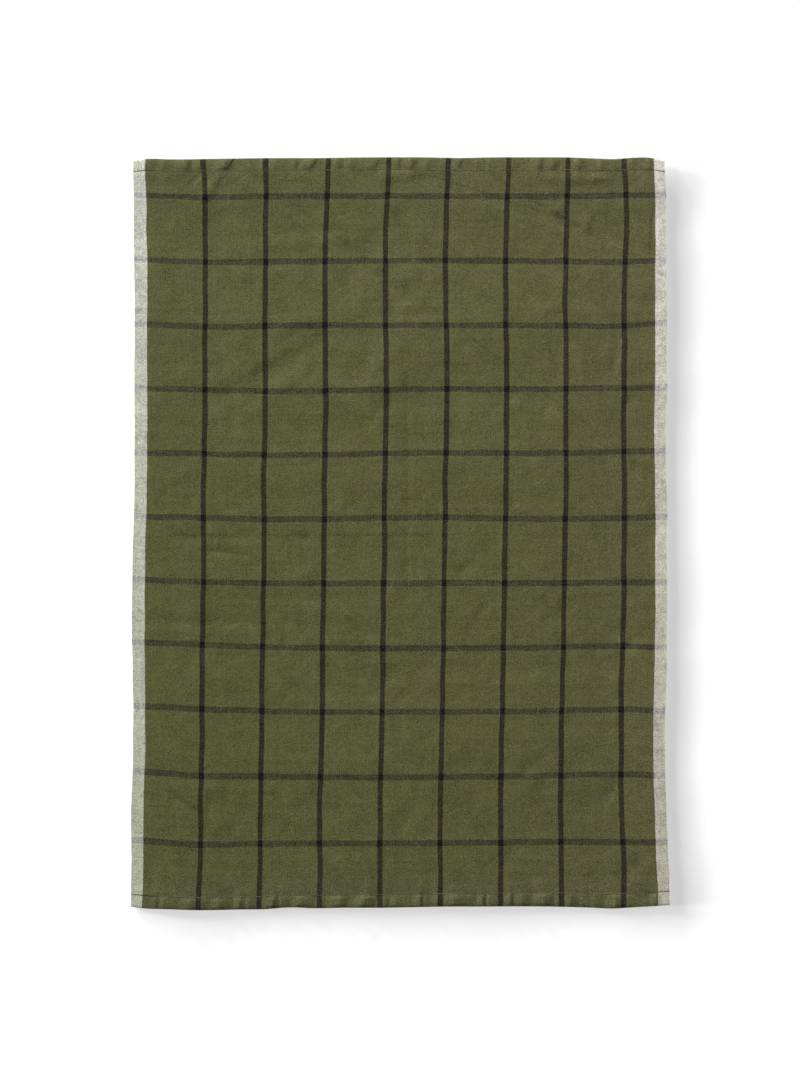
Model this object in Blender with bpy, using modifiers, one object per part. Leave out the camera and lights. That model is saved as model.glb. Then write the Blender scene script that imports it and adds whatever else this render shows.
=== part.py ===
"""Tea towel: one length of checked cotton cloth lying flat, face up.

The long sides are selvedges. The two ends are turned twice to the back, so each hem is three layers
deep: the face layer, the tucked layer that ends in the raw edge, and the turned layer underneath.
All sizes are in metres. +X runs across the towel, +Y along it and +Z up. The origin is the middle of
the towel's outline, on the surface that it lies on.
"""

from collections import namedtuple
from math import cos, pi, radians, sin

import bpy

# Driving sizes
CLOTH = 0.0010  # thickness of the sheet
LAYER_GAP = 0.0003  # air between the layers of a hem
HEM = 0.0130  # depth of a finished hem, from its outer fold to its inner fold
FACE_PAST_HEM = 0.0025  # how far the face stays level beyond the inner fold
FALL = 0.0240  # the run in which the face comes down to the surface beyond a hem
RAW_EDGE_CLEARANCE = 0.0005  # from the raw edge to where the outer fold starts to turn

# Sections of the sheet: how many strips each stretch is cut into
COLUMNS = 40
TUCKED_STRIPS = 2
INNER_FOLD_STRIPS = 4
TURNED_STRIPS = 2
OUTER_FOLD_STRIPS = 6
FACE_STRIPS = 2
FALL_STRIPS = 4
FIELD_STRIPS = 32

# Heights of the middle of each layer of a hem
LAYER_PITCH = CLOTH + LAYER_GAP
TURNED_Z = CLOTH / 2
TUCKED_Z = TURNED_Z + LAYER_PITCH
FACE_Z = TUCKED_Z + LAYER_PITCH
FIELD_Z = CLOTH / 2

OUTER_FOLD_CENTRE = LAYER_PITCH + CLOTH / 2  # inset of the outer fold's axis from the towel's end
RAW_EDGE = OUTER_FOLD_CENTRE + RAW_EDGE_CLEARANCE
FALL_START = HEM + FACE_PAST_HEM
FALL_END = FALL_START + FALL

# Where the two selvedges lie, from the upper end to the lower one
Side = namedtuple("Side", "y left right")
SIDES = (
    Side(y=0.351, left=-0.2493, right=0.2466),
    Side(y=0.330, left=-0.2489, right=0.2476),
    Side(y=0.284, left=-0.2486, right=0.2483),
    Side(y=0.164, left=-0.2479, right=0.2492),
    Side(y=0.044, left=-0.2480, right=0.2487),
    Side(y=-0.076, left=-0.2504, right=0.2493),
    Side(y=-0.196, left=-0.2493, right=0.2473),
    Side(y=-0.257, left=-0.2511, right=0.2490),
    Side(y=-0.313, left=-0.2512, right=0.2507),
    Side(y=-0.351, left=-0.2519, right=0.2524),
)
WIDEST_LEFT = min(side.left for side in SIDES)
WIDEST_RIGHT = max(side.right for side in SIDES)

# Where the folded ends lie, from the left selvedge to the right one
End = namedtuple("End", "x upper lower")
ENDS = (
    End(x=-0.2520, upper=0.3484, lower=-0.3487),
    End(x=-0.2375, upper=0.3499, lower=-0.3501),
    End(x=-0.1815, upper=0.3499, lower=-0.3518),
    End(x=-0.1205, upper=0.3508, lower=-0.3509),
    End(x=-0.1005, upper=0.3508, lower=-0.3493),
    End(x=-0.0095, upper=0.3515, lower=-0.3495),
    End(x=0.0545, upper=0.3507, lower=-0.3484),
    End(x=0.1195, upper=0.3515, lower=-0.3483),
    End(x=0.1775, upper=0.3505, lower=-0.3494),
    End(x=0.1995, upper=0.3498, lower=-0.3503),
    End(x=0.2215, upper=0.3511, lower=-0.3488),
    End(x=0.2520, upper=0.3484, lower=-0.3469),
)

# The edges lift off the surface a little
Lift = namedtuple("Lift", "height reach")
LEFT_LIFT = Lift(height=0.0004, reach=0.040)
RIGHT_LIFT = Lift(height=0.0024, reach=0.060)
UPPER_LIFT = Lift(height=0.0004, reach=0.040)
LOWER_LIFT = Lift(height=0.0008, reach=0.050)

# Main creases, as soft ridges: the middle of each one, the way it runs and its size
Crease = namedtuple("Crease", "x y heading length width height")
CREASES = (
    Crease(x=-0.128, y=0.165, heading=30, length=0.165, width=0.046, height=0.0018),
    Crease(x=-0.052, y=0.137, heading=6, length=0.165, width=0.064, height=0.0014),
    Crease(x=-0.029, y=0.276, heading=50, length=0.120, width=0.044, height=0.0014),
    Crease(x=-0.205, y=0.205, heading=-48, length=0.130, width=0.044, height=0.0010),
    Crease(x=-0.190, y=-0.247, heading=-33, length=0.080, width=0.044, height=0.0012),
    Crease(x=0.182, y=-0.240, heading=41, length=0.080, width=0.044, height=0.0016),
    Crease(x=0.212, y=-0.108, heading=70, length=0.060, width=0.044, height=0.0010),
)

COLLECTION = "tea_towel"
NODE = "towel_cloth"
GREEN_COTTON = (0.102, 0.110, 0.045, 1.0)
COTTON_ROUGHNESS = 0.9


def clear_scene():
    """Remove every object that the file holds."""
    for item in list(bpy.data.objects):
        bpy.data.objects.remove(item, do_unlink=True)


def between(rows, key, value, field):
    """Read a field of a table at a place between its rows, eased so that the curve has no corners."""
    rows = sorted(rows, key=lambda row: getattr(row, key))
    if value <= getattr(rows[0], key):
        return getattr(rows[0], field)
    for low, high in zip(rows, rows[1:]):
        if value <= getattr(high, key):
            share = (value - getattr(low, key)) / (getattr(high, key) - getattr(low, key))
            eased = share * share * (3 - 2 * share)
            return getattr(low, field) + (getattr(high, field) - getattr(low, field)) * eased
    return getattr(rows[-1], field)


def run(start, end, strips):
    """Return evenly spaced values from start to end, leaving out the start."""
    return [start + (end - start) * step / strips for step in range(1, strips + 1)]


def hem_section():
    """Return one hem's section as (inset, height) pairs, from its raw edge to the level cloth."""
    points = [(RAW_EDGE, TUCKED_Z)]
    points += [(inset, TUCKED_Z) for inset in run(RAW_EDGE, HEM, TUCKED_STRIPS)]
    inner_radius = LAYER_PITCH / 2
    for angle in run(pi / 2, -pi / 2, INNER_FOLD_STRIPS):
        points.append((HEM + inner_radius * cos(angle), TURNED_Z + inner_radius * (1 + sin(angle))))
    points += [(inset, TURNED_Z) for inset in run(HEM, OUTER_FOLD_CENTRE, TURNED_STRIPS)]
    for angle in run(-pi / 2, pi / 2, OUTER_FOLD_STRIPS):
        inset = OUTER_FOLD_CENTRE - LAYER_PITCH * cos(angle)
        points.append((inset, TUCKED_Z + LAYER_PITCH * sin(angle)))
    points += [(inset, FACE_Z) for inset in run(OUTER_FOLD_CENTRE, FALL_START, FACE_STRIPS)]
    for share in run(0.0, 1.0, FALL_STRIPS):
        eased = share * share * (3 - 2 * share)
        points.append((FALL_START + FALL * share, FACE_Z + (FIELD_Z - FACE_Z) * eased))
    return points


def lift_at(inset, lift):
    """Return how high an edge holds the cloth at this distance from it."""
    return lift.height * max(0.0, 1 - inset / lift.reach) ** 2


def crease_at(x, y):
    """Return how high the creases raise the cloth at this point."""
    height = 0.0
    for crease in CREASES:
        heading = radians(crease.heading)
        along = (x - crease.x) * cos(heading) + (y - crease.y) * sin(heading)
        across = (y - crease.y) * cos(heading) - (x - crease.x) * sin(heading)
        if abs(along) < crease.length / 2 and abs(across) < crease.width / 2:
            profile = cos(pi * across / crease.width) ** 2
            height += crease.height * profile * cos(pi * along / crease.length) ** 2
    return height


def place(column, row, hem):
    """Return the place of the sheet's middle surface at a column and a row of its grid."""
    last = 2 * len(hem) + FIELD_STRIPS - 2
    from_lower = row <= last / 2
    step = row if from_lower else last - row
    inset, height = hem[min(step, len(hem) - 1)]
    share_across = column / COLUMNS
    x = WIDEST_LEFT + (WIDEST_RIGHT - WIDEST_LEFT) * share_across
    lower = between(ENDS, "x", x, "lower")
    upper = between(ENDS, "x", x, "upper")
    if step < len(hem):
        y = lower + inset if from_lower else upper - inset
    else:
        share = (row - len(hem) + 1) / FIELD_STRIPS
        y = lower + FALL_END + (upper - lower - 2 * FALL_END) * share
        height += crease_at(x, y)
    left = between(SIDES, "y", y, "left")
    right = between(SIDES, "y", y, "right")
    x = left + (right - left) * share_across
    height += lift_at(x - left, LEFT_LIFT) + lift_at(right - x, RIGHT_LIFT)
    height += lift_at(upper - y, UPPER_LIFT) + lift_at(y - lower, LOWER_LIFT)
    return x, y, height


def centre(mesh):
    """Move the mesh so that the middle of its outline is over the origin."""
    for axis in (0, 1):
        values = [vertex.co[axis] for vertex in mesh.vertices]
        middle = (min(values) + max(values)) / 2
        for vertex in mesh.vertices:
            vertex.co[axis] -= middle


def cotton():
    """Return the cloth's material: matt green cotton."""
    material = bpy.data.materials.new("green_cotton")
    material.use_nodes = True
    shader = material.node_tree.nodes["Principled BSDF"]
    shader.inputs["Base Color"].default_value = GREEN_COTTON
    shader.inputs["Roughness"].default_value = COTTON_ROUGHNESS
    shader.inputs["Metallic"].default_value = 0.0
    material.diffuse_color = GREEN_COTTON
    return material


def build_cloth(collection):
    """Model the towel: a grid laid along the section of its two hems, then given its thickness."""
    hem = hem_section()
    rows = 2 * (len(hem) - 1) + FIELD_STRIPS
    bpy.ops.mesh.primitive_grid_add(x_subdivisions=COLUMNS, y_subdivisions=rows, size=1.0)
    cloth = bpy.context.object
    cloth.name = NODE
    mesh = cloth.data
    mesh.name = NODE
    for vertex in mesh.vertices:
        column = round((vertex.co.x + 0.5) * COLUMNS)
        row = round((vertex.co.y + 0.5) * rows)
        vertex.co = place(column, row, hem)
    centre(mesh)
    mesh.shade_smooth()
    mesh.materials.append(cotton())
    thickness = cloth.modifiers.new("Cloth thickness", "SOLIDIFY")
    thickness.thickness = CLOTH
    thickness.offset = 0.0
    thickness.use_even_offset = True
    thickness.use_quality_normals = True
    for holder in list(cloth.users_collection):
        holder.objects.unlink(cloth)
    collection.objects.link(cloth)
    return cloth


def main():
    clear_scene()
    collection = bpy.data.collections.new(COLLECTION)
    bpy.context.scene.collection.children.link(collection)
    build_cloth(collection)


main()
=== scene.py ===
"""Tea towel: a checked cotton cloth with selvedges along its sides and a turned hem at each end.

It lies face up. All sizes are in metres. +X runs across the towel, +Y along it to its upper end and +Z up.
The origin is the middle of the towel's outline, on the surface that it lies on.

Two flat measures name a spot on the cloth. "across" is counted from the left selvedge. "along" is counted
from the lower fold, up the face. The cut length, which also has the cloth inside the hems, is the "cloth"
UV map's second number. The warp yarns run lengthwise and the weft yarns crosswise.
"""

import logging
import math
from dataclasses import astuple, dataclass, field
from enum import Enum
from typing import Any, Dict, List, Mapping, Optional, Sequence, Tuple, Union

import bpy
import numpy as np
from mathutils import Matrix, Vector

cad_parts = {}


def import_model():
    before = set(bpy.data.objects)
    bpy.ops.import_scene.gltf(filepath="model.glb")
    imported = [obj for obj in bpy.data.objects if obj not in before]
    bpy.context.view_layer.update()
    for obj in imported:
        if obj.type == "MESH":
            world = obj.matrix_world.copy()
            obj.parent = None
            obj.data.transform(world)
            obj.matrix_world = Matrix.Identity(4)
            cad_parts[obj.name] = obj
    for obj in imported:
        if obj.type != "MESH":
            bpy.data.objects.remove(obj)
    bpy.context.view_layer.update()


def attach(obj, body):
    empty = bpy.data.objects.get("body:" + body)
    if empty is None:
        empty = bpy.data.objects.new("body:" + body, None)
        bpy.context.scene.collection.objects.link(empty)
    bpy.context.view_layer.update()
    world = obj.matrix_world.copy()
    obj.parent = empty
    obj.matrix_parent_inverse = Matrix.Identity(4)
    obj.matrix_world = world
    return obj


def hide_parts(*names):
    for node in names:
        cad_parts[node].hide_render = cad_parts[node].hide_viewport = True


LOG = logging.getLogger("tea_towel")
BODY = "root"
CAD_NODE = "towel_cloth"
MM = 0.001
SLACK = 1e-6  # for comparing lengths
HIGHEST_PUCKER = 0.0022
YARN_SIDES = 6
SUN_DISTANCE = 3.0
WHITE = (1.0, 1.0, 1.0)

Array = np.ndarray
Places = Tuple[Array, Array, Array]  # X, Y and Z at some spots
Vector3 = Tuple[float, float, float]
Colour = Vector3
Value = Union["Wire", float]


class Slot(Enum):
    """The names of the material slots."""

    COTTON = "cotton_cloth"
    THREAD = "sewing_thread"


class End(Enum):
    """The towel's two ends. The value is the way along Y in which the end faces."""

    LOWER = -1
    UPPER = 1


class Selvedge(Enum):
    """The towel's two long sides. The value is the way along X in which the side faces."""

    LEFT = -1
    RIGHT = 1


# ---------------- tables of the cloth as it lies
# Each class names the columns of the table under it.


@dataclass(frozen=True)
class Station:
    """Where seven lengthwise threads lie at one place up the towel: both selvedges and five dark stripes."""

    y: float
    left: float
    first: float
    third: float
    fifth: float
    seventh: float
    eighth: float
    right: float


STATION_STRIPES = (0, 2, 4, 6, 7)  # the five stripes' numbers, counted from 0
STATIONS = (
    Station(-0.3450, -0.2517, -0.1882, -0.0751, 0.0376, 0.1510, 0.2091, 0.2522),
    Station(-0.3132, -0.2512, -0.1866, -0.0748, 0.0376, 0.1508, 0.2092, 0.2507),
    Station(-0.2571, -0.2511, -0.1863, -0.0749, 0.0379, 0.1501, 0.2069, 0.2490),
    Station(-0.1964, -0.2493, -0.1851, -0.0735, 0.0388, 0.1506, 0.2067, 0.2473),
    Station(-0.1356, -0.2495, -0.1848, -0.0725, 0.0401, 0.1518, 0.2073, 0.2488),
    Station(-0.0757, -0.2504, -0.1840, -0.0720, 0.0410, 0.1533, 0.2091, 0.2493),
    Station(-0.0159, -0.2496, -0.1833, -0.0708, 0.0420, 0.1540, 0.2096, 0.2490),
    Station(0.0439, -0.2480, -0.1836, -0.0708, 0.0423, 0.1553, 0.2098, 0.2487),
    Station(0.1047, -0.2476, -0.1824, -0.0697, 0.0435, 0.1548, 0.2089, 0.2483),
    Station(0.1636, -0.2479, -0.1823, -0.0699, 0.0437, 0.1551, 0.2099, 0.2492),
    Station(0.2244, -0.2476, -0.1819, -0.0700, 0.0427, 0.1542, 0.2094, 0.2488),
    Station(0.2842, -0.2486, -0.1822, -0.0694, 0.0431, 0.1558, 0.2117, 0.2483),
    Station(0.3301, -0.2489, -0.1828, -0.0674, 0.0446, 0.1566, 0.2105, 0.2476),
    Station(0.3450, -0.2492, -0.1840, -0.0667, 0.0451, 0.1569, 0.2094, 0.2468),
)


@dataclass(frozen=True)
class WeftLine:
    """How high up the towel one crosswise dark stripe lies, at seven places from left to right."""

    left: float
    near_left: float
    third: float
    middle: float
    far: float
    near_right: float
    right: float


WEFT_PLACES = (0.006, 0.053, 0.153, 0.2655, 0.378, 0.470, 0.4935)
WEFT_LINES = (  # from the lowest stripe to the uppermost
    WeftLine(-0.2868, -0.2900, -0.2897, -0.2893, -0.2884, -0.2883, -0.2883),
    WeftLine(-0.2219, -0.2258, -0.2273, -0.2278, -0.2267, -0.2252, -0.2264),
    WeftLine(-0.1611, -0.1635, -0.1665, -0.1667, -0.1661, -0.1647, -0.1657),
    WeftLine(-0.1016, -0.1037, -0.1067, -0.1071, -0.1066, -0.1056, -0.1068),
    WeftLine(-0.0431, -0.0449, -0.0465, -0.0463, -0.0462, -0.0459, -0.0456),
    WeftLine(0.0159, 0.0148, 0.0132, 0.0150, 0.0137, 0.0146, 0.0152),
    WeftLine(0.0752, 0.0744, 0.0734, 0.0753, 0.0753, 0.0765, 0.0775),
    WeftLine(0.1357, 0.1345, 0.1331, 0.1348, 0.1351, 0.1359, 0.1365),
    WeftLine(0.1957, 0.1935, 0.1944, 0.1944, 0.1943, 0.1946, 0.1966),
    WeftLine(0.2565, 0.2539, 0.2544, 0.2551, 0.2545, 0.2544, 0.2556),
    WeftLine(0.3162, 0.3144, 0.3153, 0.3151, 0.3148, 0.3160, 0.3161),
)


@dataclass(frozen=True)
class Outline:
    """Where the two folded ends lie at one place across the towel."""

    across: float
    lower: float
    upper: float


OUTLINE = (
    Outline(0.000, -0.3487, 0.3484),
    Outline(0.012, -0.3501, 0.3499),
    Outline(0.035, -0.3509, 0.3495),
    Outline(0.068, -0.3518, 0.3499),
    Outline(0.101, -0.3513, 0.3505),
    Outline(0.129, -0.3509, 0.3508),
    Outline(0.149, -0.3493, 0.3508),
    Outline(0.170, -0.3500, 0.3508),
    Outline(0.202, -0.3496, 0.3513),
    Outline(0.240, -0.3495, 0.3515),
    Outline(0.269, -0.3489, 0.3514),
    Outline(0.304, -0.3484, 0.3507),
    Outline(0.326, -0.3484, 0.3513),
    Outline(0.369, -0.3483, 0.3515),
    Outline(0.404, -0.3488, 0.3514),
    Outline(0.427, -0.3494, 0.3505),
    Outline(0.449, -0.3503, 0.3498),
    Outline(0.471, -0.3488, 0.3511),
    Outline(0.483, -0.3480, 0.3510),
    Outline(0.498, -0.3469, 0.3484),
)


@dataclass(frozen=True)
class Crease:
    """One soft ridge (height over 0) or trough in the face: its middle, its heading in degrees, its size."""

    x: float
    y: float
    heading: float
    length: float
    width: float
    height: float


CREASES = (
    Crease(-0.1205, 0.1530, 29, 0.165, 0.026, -0.0012),
    Crease(-0.0520, 0.1365, 6, 0.165, 0.064, 0.0014),
    Crease(-0.0930, 0.1960, 14, 0.060, 0.018, 0.0010),
    Crease(-0.0060, 0.1640, 84, 0.080, 0.052, 0.0009),
    Crease(0.0120, 0.1640, 88, 0.080, 0.056, 0.0006),
    Crease(-0.0230, 0.2700, 50, 0.120, 0.024, -0.0009),
    Crease(0.1470, 0.3040, 40, 0.020, 0.018, 0.0013),
    Crease(0.2010, 0.2870, 30, 0.030, 0.018, -0.0009),
    Crease(0.1750, 0.2900, 60, 0.028, 0.016, 0.0011),
    Crease(0.0020, 0.3370, 20, 0.050, 0.024, 0.0012),
    Crease(0.1680, 0.3315, -3, 0.080, 0.013, 0.0010),
    Crease(-0.1530, 0.2960, 10, 0.060, 0.022, -0.0007),
    Crease(-0.1000, 0.2700, 4, 0.160, 0.018, 0.0007),
    Crease(0.0300, 0.2070, 3, 0.200, 0.016, -0.0005),
    Crease(-0.0950, -0.0010, 1, 0.220, 0.010, -0.0003),
    Crease(-0.1980, -0.0040, -8, 0.036, 0.012, -0.0007),
    Crease(-0.1650, -0.0180, -10, 0.056, 0.012, -0.0008),
    Crease(0.0065, 0.0450, 90, 0.320, 0.010, -0.0004),
    Crease(-0.0600, -0.0730, -8, 0.050, 0.018, 0.0008),
    Crease(-0.0200, -0.0960, -10, 0.080, 0.014, -0.0008),
    Crease(0.0760, -0.0730, 72, 0.036, 0.014, -0.0006),
    Crease(0.0610, -0.0350, 60, 0.030, 0.014, -0.0007),
    Crease(-0.1900, -0.0820, -2, 0.120, 0.014, -0.0007),
    Crease(0.0200, -0.1300, 1, 0.420, 0.028, -0.0004),
    Crease(-0.0200, -0.1700, -1, 0.380, 0.024, 0.0003),
    Crease(-0.1950, -0.2530, -33, 0.064, 0.020, -0.0009),
    Crease(0.1885, -0.2470, 41, 0.060, 0.022, -0.0016),
    Crease(0.2200, -0.3090, 50, 0.042, 0.024, -0.0006),
    Crease(0.2120, -0.1080, 70, 0.034, 0.014, -0.0008),
    Crease(0.2120, 0.1210, 60, 0.034, 0.014, -0.0008),
    Crease(0.2020, 0.1660, 86, 0.050, 0.012, -0.0007),
    Crease(0.1430, 0.1450, 80, 0.100, 0.014, -0.0007),
    Crease(0.2360, 0.2840, 86, 0.062, 0.010, -0.0008),
    Crease(-0.2050, 0.2050, -48, 0.130, 0.022, 0.0008),
    Crease(0.0600, -0.2000, 38, 0.090, 0.030, 0.0004),
    Crease(-0.1900, 0.3330, 48, 0.034, 0.010, -0.0008),
    Crease(-0.1780, 0.3220, 45, 0.040, 0.012, 0.0007),
)


@dataclass(frozen=True)
class Pucker:
    """One fold that the hem's stitching draws up: its crest at the hem's edge and the run on each side."""

    across: float
    rise: float
    fall: float
    steepness: float = 0.190
    lean: float = 0.0  # how far the crest moves across for each step away from the edge

    @property
    def height(self) -> float:
        """Return how high the crest stands."""
        return min(self.rise * self.steepness, HIGHEST_PUCKER)


LOWER_PUCKERS = (
    Pucker(0.0240, 0.0045, 0.0030),
    Pucker(0.0320, 0.0040, 0.0140, 0.280),
    Pucker(0.0580, 0.0100, 0.0170),
    Pucker(0.0845, 0.0085, 0.0105, 0.210),
    Pucker(0.1025, 0.0057, 0.0055, 0.270, 0.10),
    Pucker(0.1120, 0.0037, 0.0080, 0.230),
    Pucker(0.1345, 0.0103, 0.0060),
    Pucker(0.1425, 0.0030, 0.0090, 0.270),
    Pucker(0.1590, 0.0075, 0.0140, 0.240),
    Pucker(0.1785, 0.0040, 0.0050, 0.200),
    Pucker(0.1965, 0.0130, 0.0080, 0.140),
    Pucker(0.2170, 0.0095, 0.0110, 0.220, 0.30),
    Pucker(0.2385, 0.0050, 0.0045),
    Pucker(0.2470, 0.0035, 0.0140, 0.300),
    Pucker(0.2710, 0.0075, 0.0030, 0.210),
    Pucker(0.2765, 0.0030, 0.0055, 0.170),
    Pucker(0.2870, 0.0050, 0.0065, 0.210),
    Pucker(0.3030, 0.0085, 0.0200, 0.250),
    Pucker(0.3300, 0.0060, 0.0030, 0.260),
    Pucker(0.3370, 0.0038, 0.0100, 0.230),
    Pucker(0.3555, 0.0075, 0.0030),
    Pucker(0.3660, 0.0070, 0.0090),
    Pucker(0.3870, 0.0115, 0.0095, 0.200),
    Pucker(0.3995, 0.0037, 0.0025),
    Pucker(0.4100, 0.0055, 0.0080, 0.260),
    Pucker(0.4220, 0.0030, 0.0070, 0.230),
    Pucker(0.4335, 0.0045, 0.0080, 0.210),
    Pucker(0.4520, 0.0100, 0.0080),
    Pucker(0.4625, 0.0035, 0.0110, 0.260),
    Pucker(0.4865, 0.0060, 0.0070, 0.240),
)
UPPER_PUCKERS = (
    Pucker(0.0125, 0.0060, 0.0085, 0.131),
    Pucker(0.0290, 0.0065, 0.0050, 0.156),
    Pucker(0.0490, 0.0110, 0.0055, 0.164),
    Pucker(0.0610, 0.0065, 0.0140, 0.139),
    Pucker(0.0865, 0.0100, 0.0080, 0.230, -0.30),
    Pucker(0.1085, 0.0035, 0.0070, 0.172),
    Pucker(0.1185, 0.0030, 0.0040, 0.189),
    Pucker(0.1290, 0.0050, 0.0120, 0.164),
    Pucker(0.1475, 0.0065, 0.0030, 0.164),
    Pucker(0.1640, 0.0095, 0.0060, 0.148, -0.40),
    Pucker(0.1865, 0.0060, 0.0050, 0.213),
    Pucker(0.1970, 0.0050, 0.0085, 0.189),
    Pucker(0.2200, 0.0080, 0.0080, 0.131, -0.20),
    Pucker(0.2435, 0.0060, 0.0030, 0.156),
    Pucker(0.2555, 0.0095, 0.0045, 0.172),
    Pucker(0.2710, 0.0075, 0.0090, 0.156),
    Pucker(0.2845, 0.0035, 0.0050, 0.115),
    Pucker(0.3000, 0.0065, 0.0120, 0.156),
    Pucker(0.3170, 0.0030, 0.0080, 0.189),
    Pucker(0.3285, 0.0040, 0.0150, 0.213),
    Pucker(0.3520, 0.0040, 0.0110, 0.148, -0.30),
    Pucker(0.3745, 0.0085, 0.0050, 0.172),
    Pucker(0.3895, 0.0095, 0.0060, 0.156),
    Pucker(0.4150, 0.0090, 0.0080, 0.172, -0.20),
    Pucker(0.4360, 0.0050, 0.0060, 0.180),
    Pucker(0.4460, 0.0040, 0.0070, 0.172, 0.40),
    Pucker(0.4660, 0.0040, 0.0060, 0.156),
    Pucker(0.4840, 0.0065, 0.0060, 0.139),
)


@dataclass(frozen=True)
class Stroke:
    """One fine pressed line in the face, from one spot to another: painted light if its tone is over 0, else
    painted shade.
    """

    x: float
    y: float
    to_x: float
    to_y: float
    tone: float = 0.0
    half_width: float = 0.0008
    step: float = 0.0  # how far the cloth rises across the line from its right to its left, in millimetres


STROKES = (
    Stroke(-0.2323, 0.2459, -0.1865, 0.1973, 0.50),
    Stroke(-0.1865, 0.1973, -0.1426, 0.1477, 1.00),
    Stroke(-0.1211, 0.1505, -0.0678, 0.2020, 0.90),
    Stroke(-0.0678, 0.2020, -0.0182, 0.2534, 0.60),
    Stroke(-0.0182, 0.2534, 0.0304, 0.2861, 0.60),
    Stroke(-0.0510, 0.2721, -0.0369, 0.2599, 0.70),
    Stroke(-0.1071, -0.1982, -0.0725, -0.2683, 0.60),
    Stroke(0.0285, -0.2029, 0.0425, -0.1655, 0.60),
    Stroke(0.1875, -0.0860, 0.2361, -0.1281, 0.60),
    Stroke(0.1501, 0.2225, 0.1781, 0.2412, 0.70),
    Stroke(-0.1071, 0.1599, -0.0837, 0.1898, 0.50),
    Stroke(-0.2174, -0.2964, -0.2314, -0.3151, 0.70),
    Stroke(-0.1071, -0.3226, -0.1005, -0.3338, 0.70),
    Stroke(-0.0435, -0.3244, -0.0351, -0.3366, 0.70),
    Stroke(-0.1543, 0.3506, -0.1613, 0.3413, -2.60, step=-0.60),
    Stroke(-0.1613, 0.3413, -0.1566, 0.3385, -0.80, 0.0007),
    Stroke(-0.1566, 0.3385, -0.1716, 0.3291, -0.60, step=-0.20),
    Stroke(-0.1426, 0.3506, -0.1346, 0.3413, -0.60, 0.0007, step=-0.25),
    Stroke(-0.0767, 0.3506, -0.0837, 0.3403, -0.40, step=-0.25),
    Stroke(-0.0837, 0.3403, -0.0958, 0.3291, half_width=0.0009, step=-0.16),
    Stroke(-0.0196, 0.3506, -0.0229, 0.3403, -0.50, step=-0.30),
    Stroke(0.0598, 0.3506, 0.0538, 0.3403, -0.80, 0.0009, step=-0.45),
    Stroke(0.0164, 0.3506, 0.0164, 0.3394, step=-0.20),
    Stroke(-0.1978, 0.3375, -0.2127, 0.3263, half_width=0.0009, step=-0.20),
    Stroke(-0.1435, 0.3366, -0.1491, 0.3301, step=0.16),
    Stroke(0.1220, 0.3375, 0.1136, 0.3272, step=0.16),
    Stroke(-0.2202, -0.0014, 0.0379, -0.0012, -0.60, 0.0030, step=0.06),
    Stroke(0.0379, -0.0012, 0.2361, -0.0005, -0.35, 0.0026, step=0.03),
    Stroke(-0.1837, -0.0140, -0.1398, -0.0196, -0.70, 0.0025, step=0.05),
    Stroke(0.1440, 0.2980, 0.1540, 0.2930, -0.90, 0.0060),
    Stroke(-0.2180, -0.2390, -0.1770, -0.2655, -0.60, 0.0045),
    Stroke(0.1987, -0.2328, 0.1725, -0.2553, -0.50, 0.0045),
    Stroke(-0.1740, 0.1300, -0.0980, 0.1720, -0.30, 0.0060),
    Stroke(0.0070, 0.3057, -0.0323, 0.2590, -0.35, 0.0060),
    Stroke(-0.0323, 0.2590, -0.0388, 0.2328, -0.30, 0.0050),
    Stroke(0.2170, -0.2960, 0.2210, -0.3140, -0.70, 0.0070),
    Stroke(0.2345, 0.2985, 0.2335, 0.2530, -0.90, 0.0012),
)


@dataclass(frozen=True)
class Nep:
    """One small knot of pale fibre caught in the weave, by where it lies."""

    x: float
    y: float


NEPS = (
    Nep(0.1178, 0.3188),
    Nep(0.0720, 0.1833),
    Nep(-0.1103, 0.0439),
    Nep(-0.0879, -0.1141),
    Nep(0.1178, -0.1038),
    Nep(-0.2132, -0.2459),
    Nep(-0.0187, -0.3347),
    Nep(0.2188, -0.3086),
)


# ---------------- curves and noise


@dataclass(frozen=True)
class Ease:
    """A share that eases from "start" at low to 1 at high."""

    low: float
    high: float
    start: float = 0.0

    def at(self, value: Array) -> Array:
        """Return the share at each value."""
        share = np.clip((value - self.low) / (self.high - self.low), 0.0, 1.0)
        return self.start + (1 - self.start) * (share * share * (3 - 2 * share))


def fading(distance: Array, reach: float, power: float = 1.0) -> Array:
    """Return 1 at an edge, falling to 0 at "reach" from it. A higher power falls faster at first."""
    return np.clip(1 - distance / reach, 0.0, 1.0) ** power


def curve_through(knots: Sequence[float], values: Array, at: Array) -> Array:
    """Read a smooth curve that passes through rows of a table.

    Args:
        knots: Where each row of the table stands, rising.
        values: The table: one number a row, or one row of numbers that match "at".
        at: Where to read the curve.

    Returns:
        The curve's value at each place.
    """
    spots = np.asarray(knots, float)
    table = np.asarray(values, float)
    slopes = np.gradient(table, spots, axis=0)
    row = np.clip(np.searchsorted(spots, at) - 1, 0, len(spots) - 2)
    step = spots[row + 1] - spots[row]
    share = np.clip((at - spots[row]) / step, 0.0, 1.0)
    pick = (row,) if table.ndim == 1 else (row, np.arange(len(at)))
    after = (row + 1,) + pick[1:]
    square, cube = share**2, share**3
    return (
        table[pick] * (2 * cube - 3 * square + 1)
        + slopes[pick] * step * (cube - 2 * square + share)
        + table[after] * (3 * square - 2 * cube)
        + slopes[after] * step * (cube - square)
    )


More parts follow.
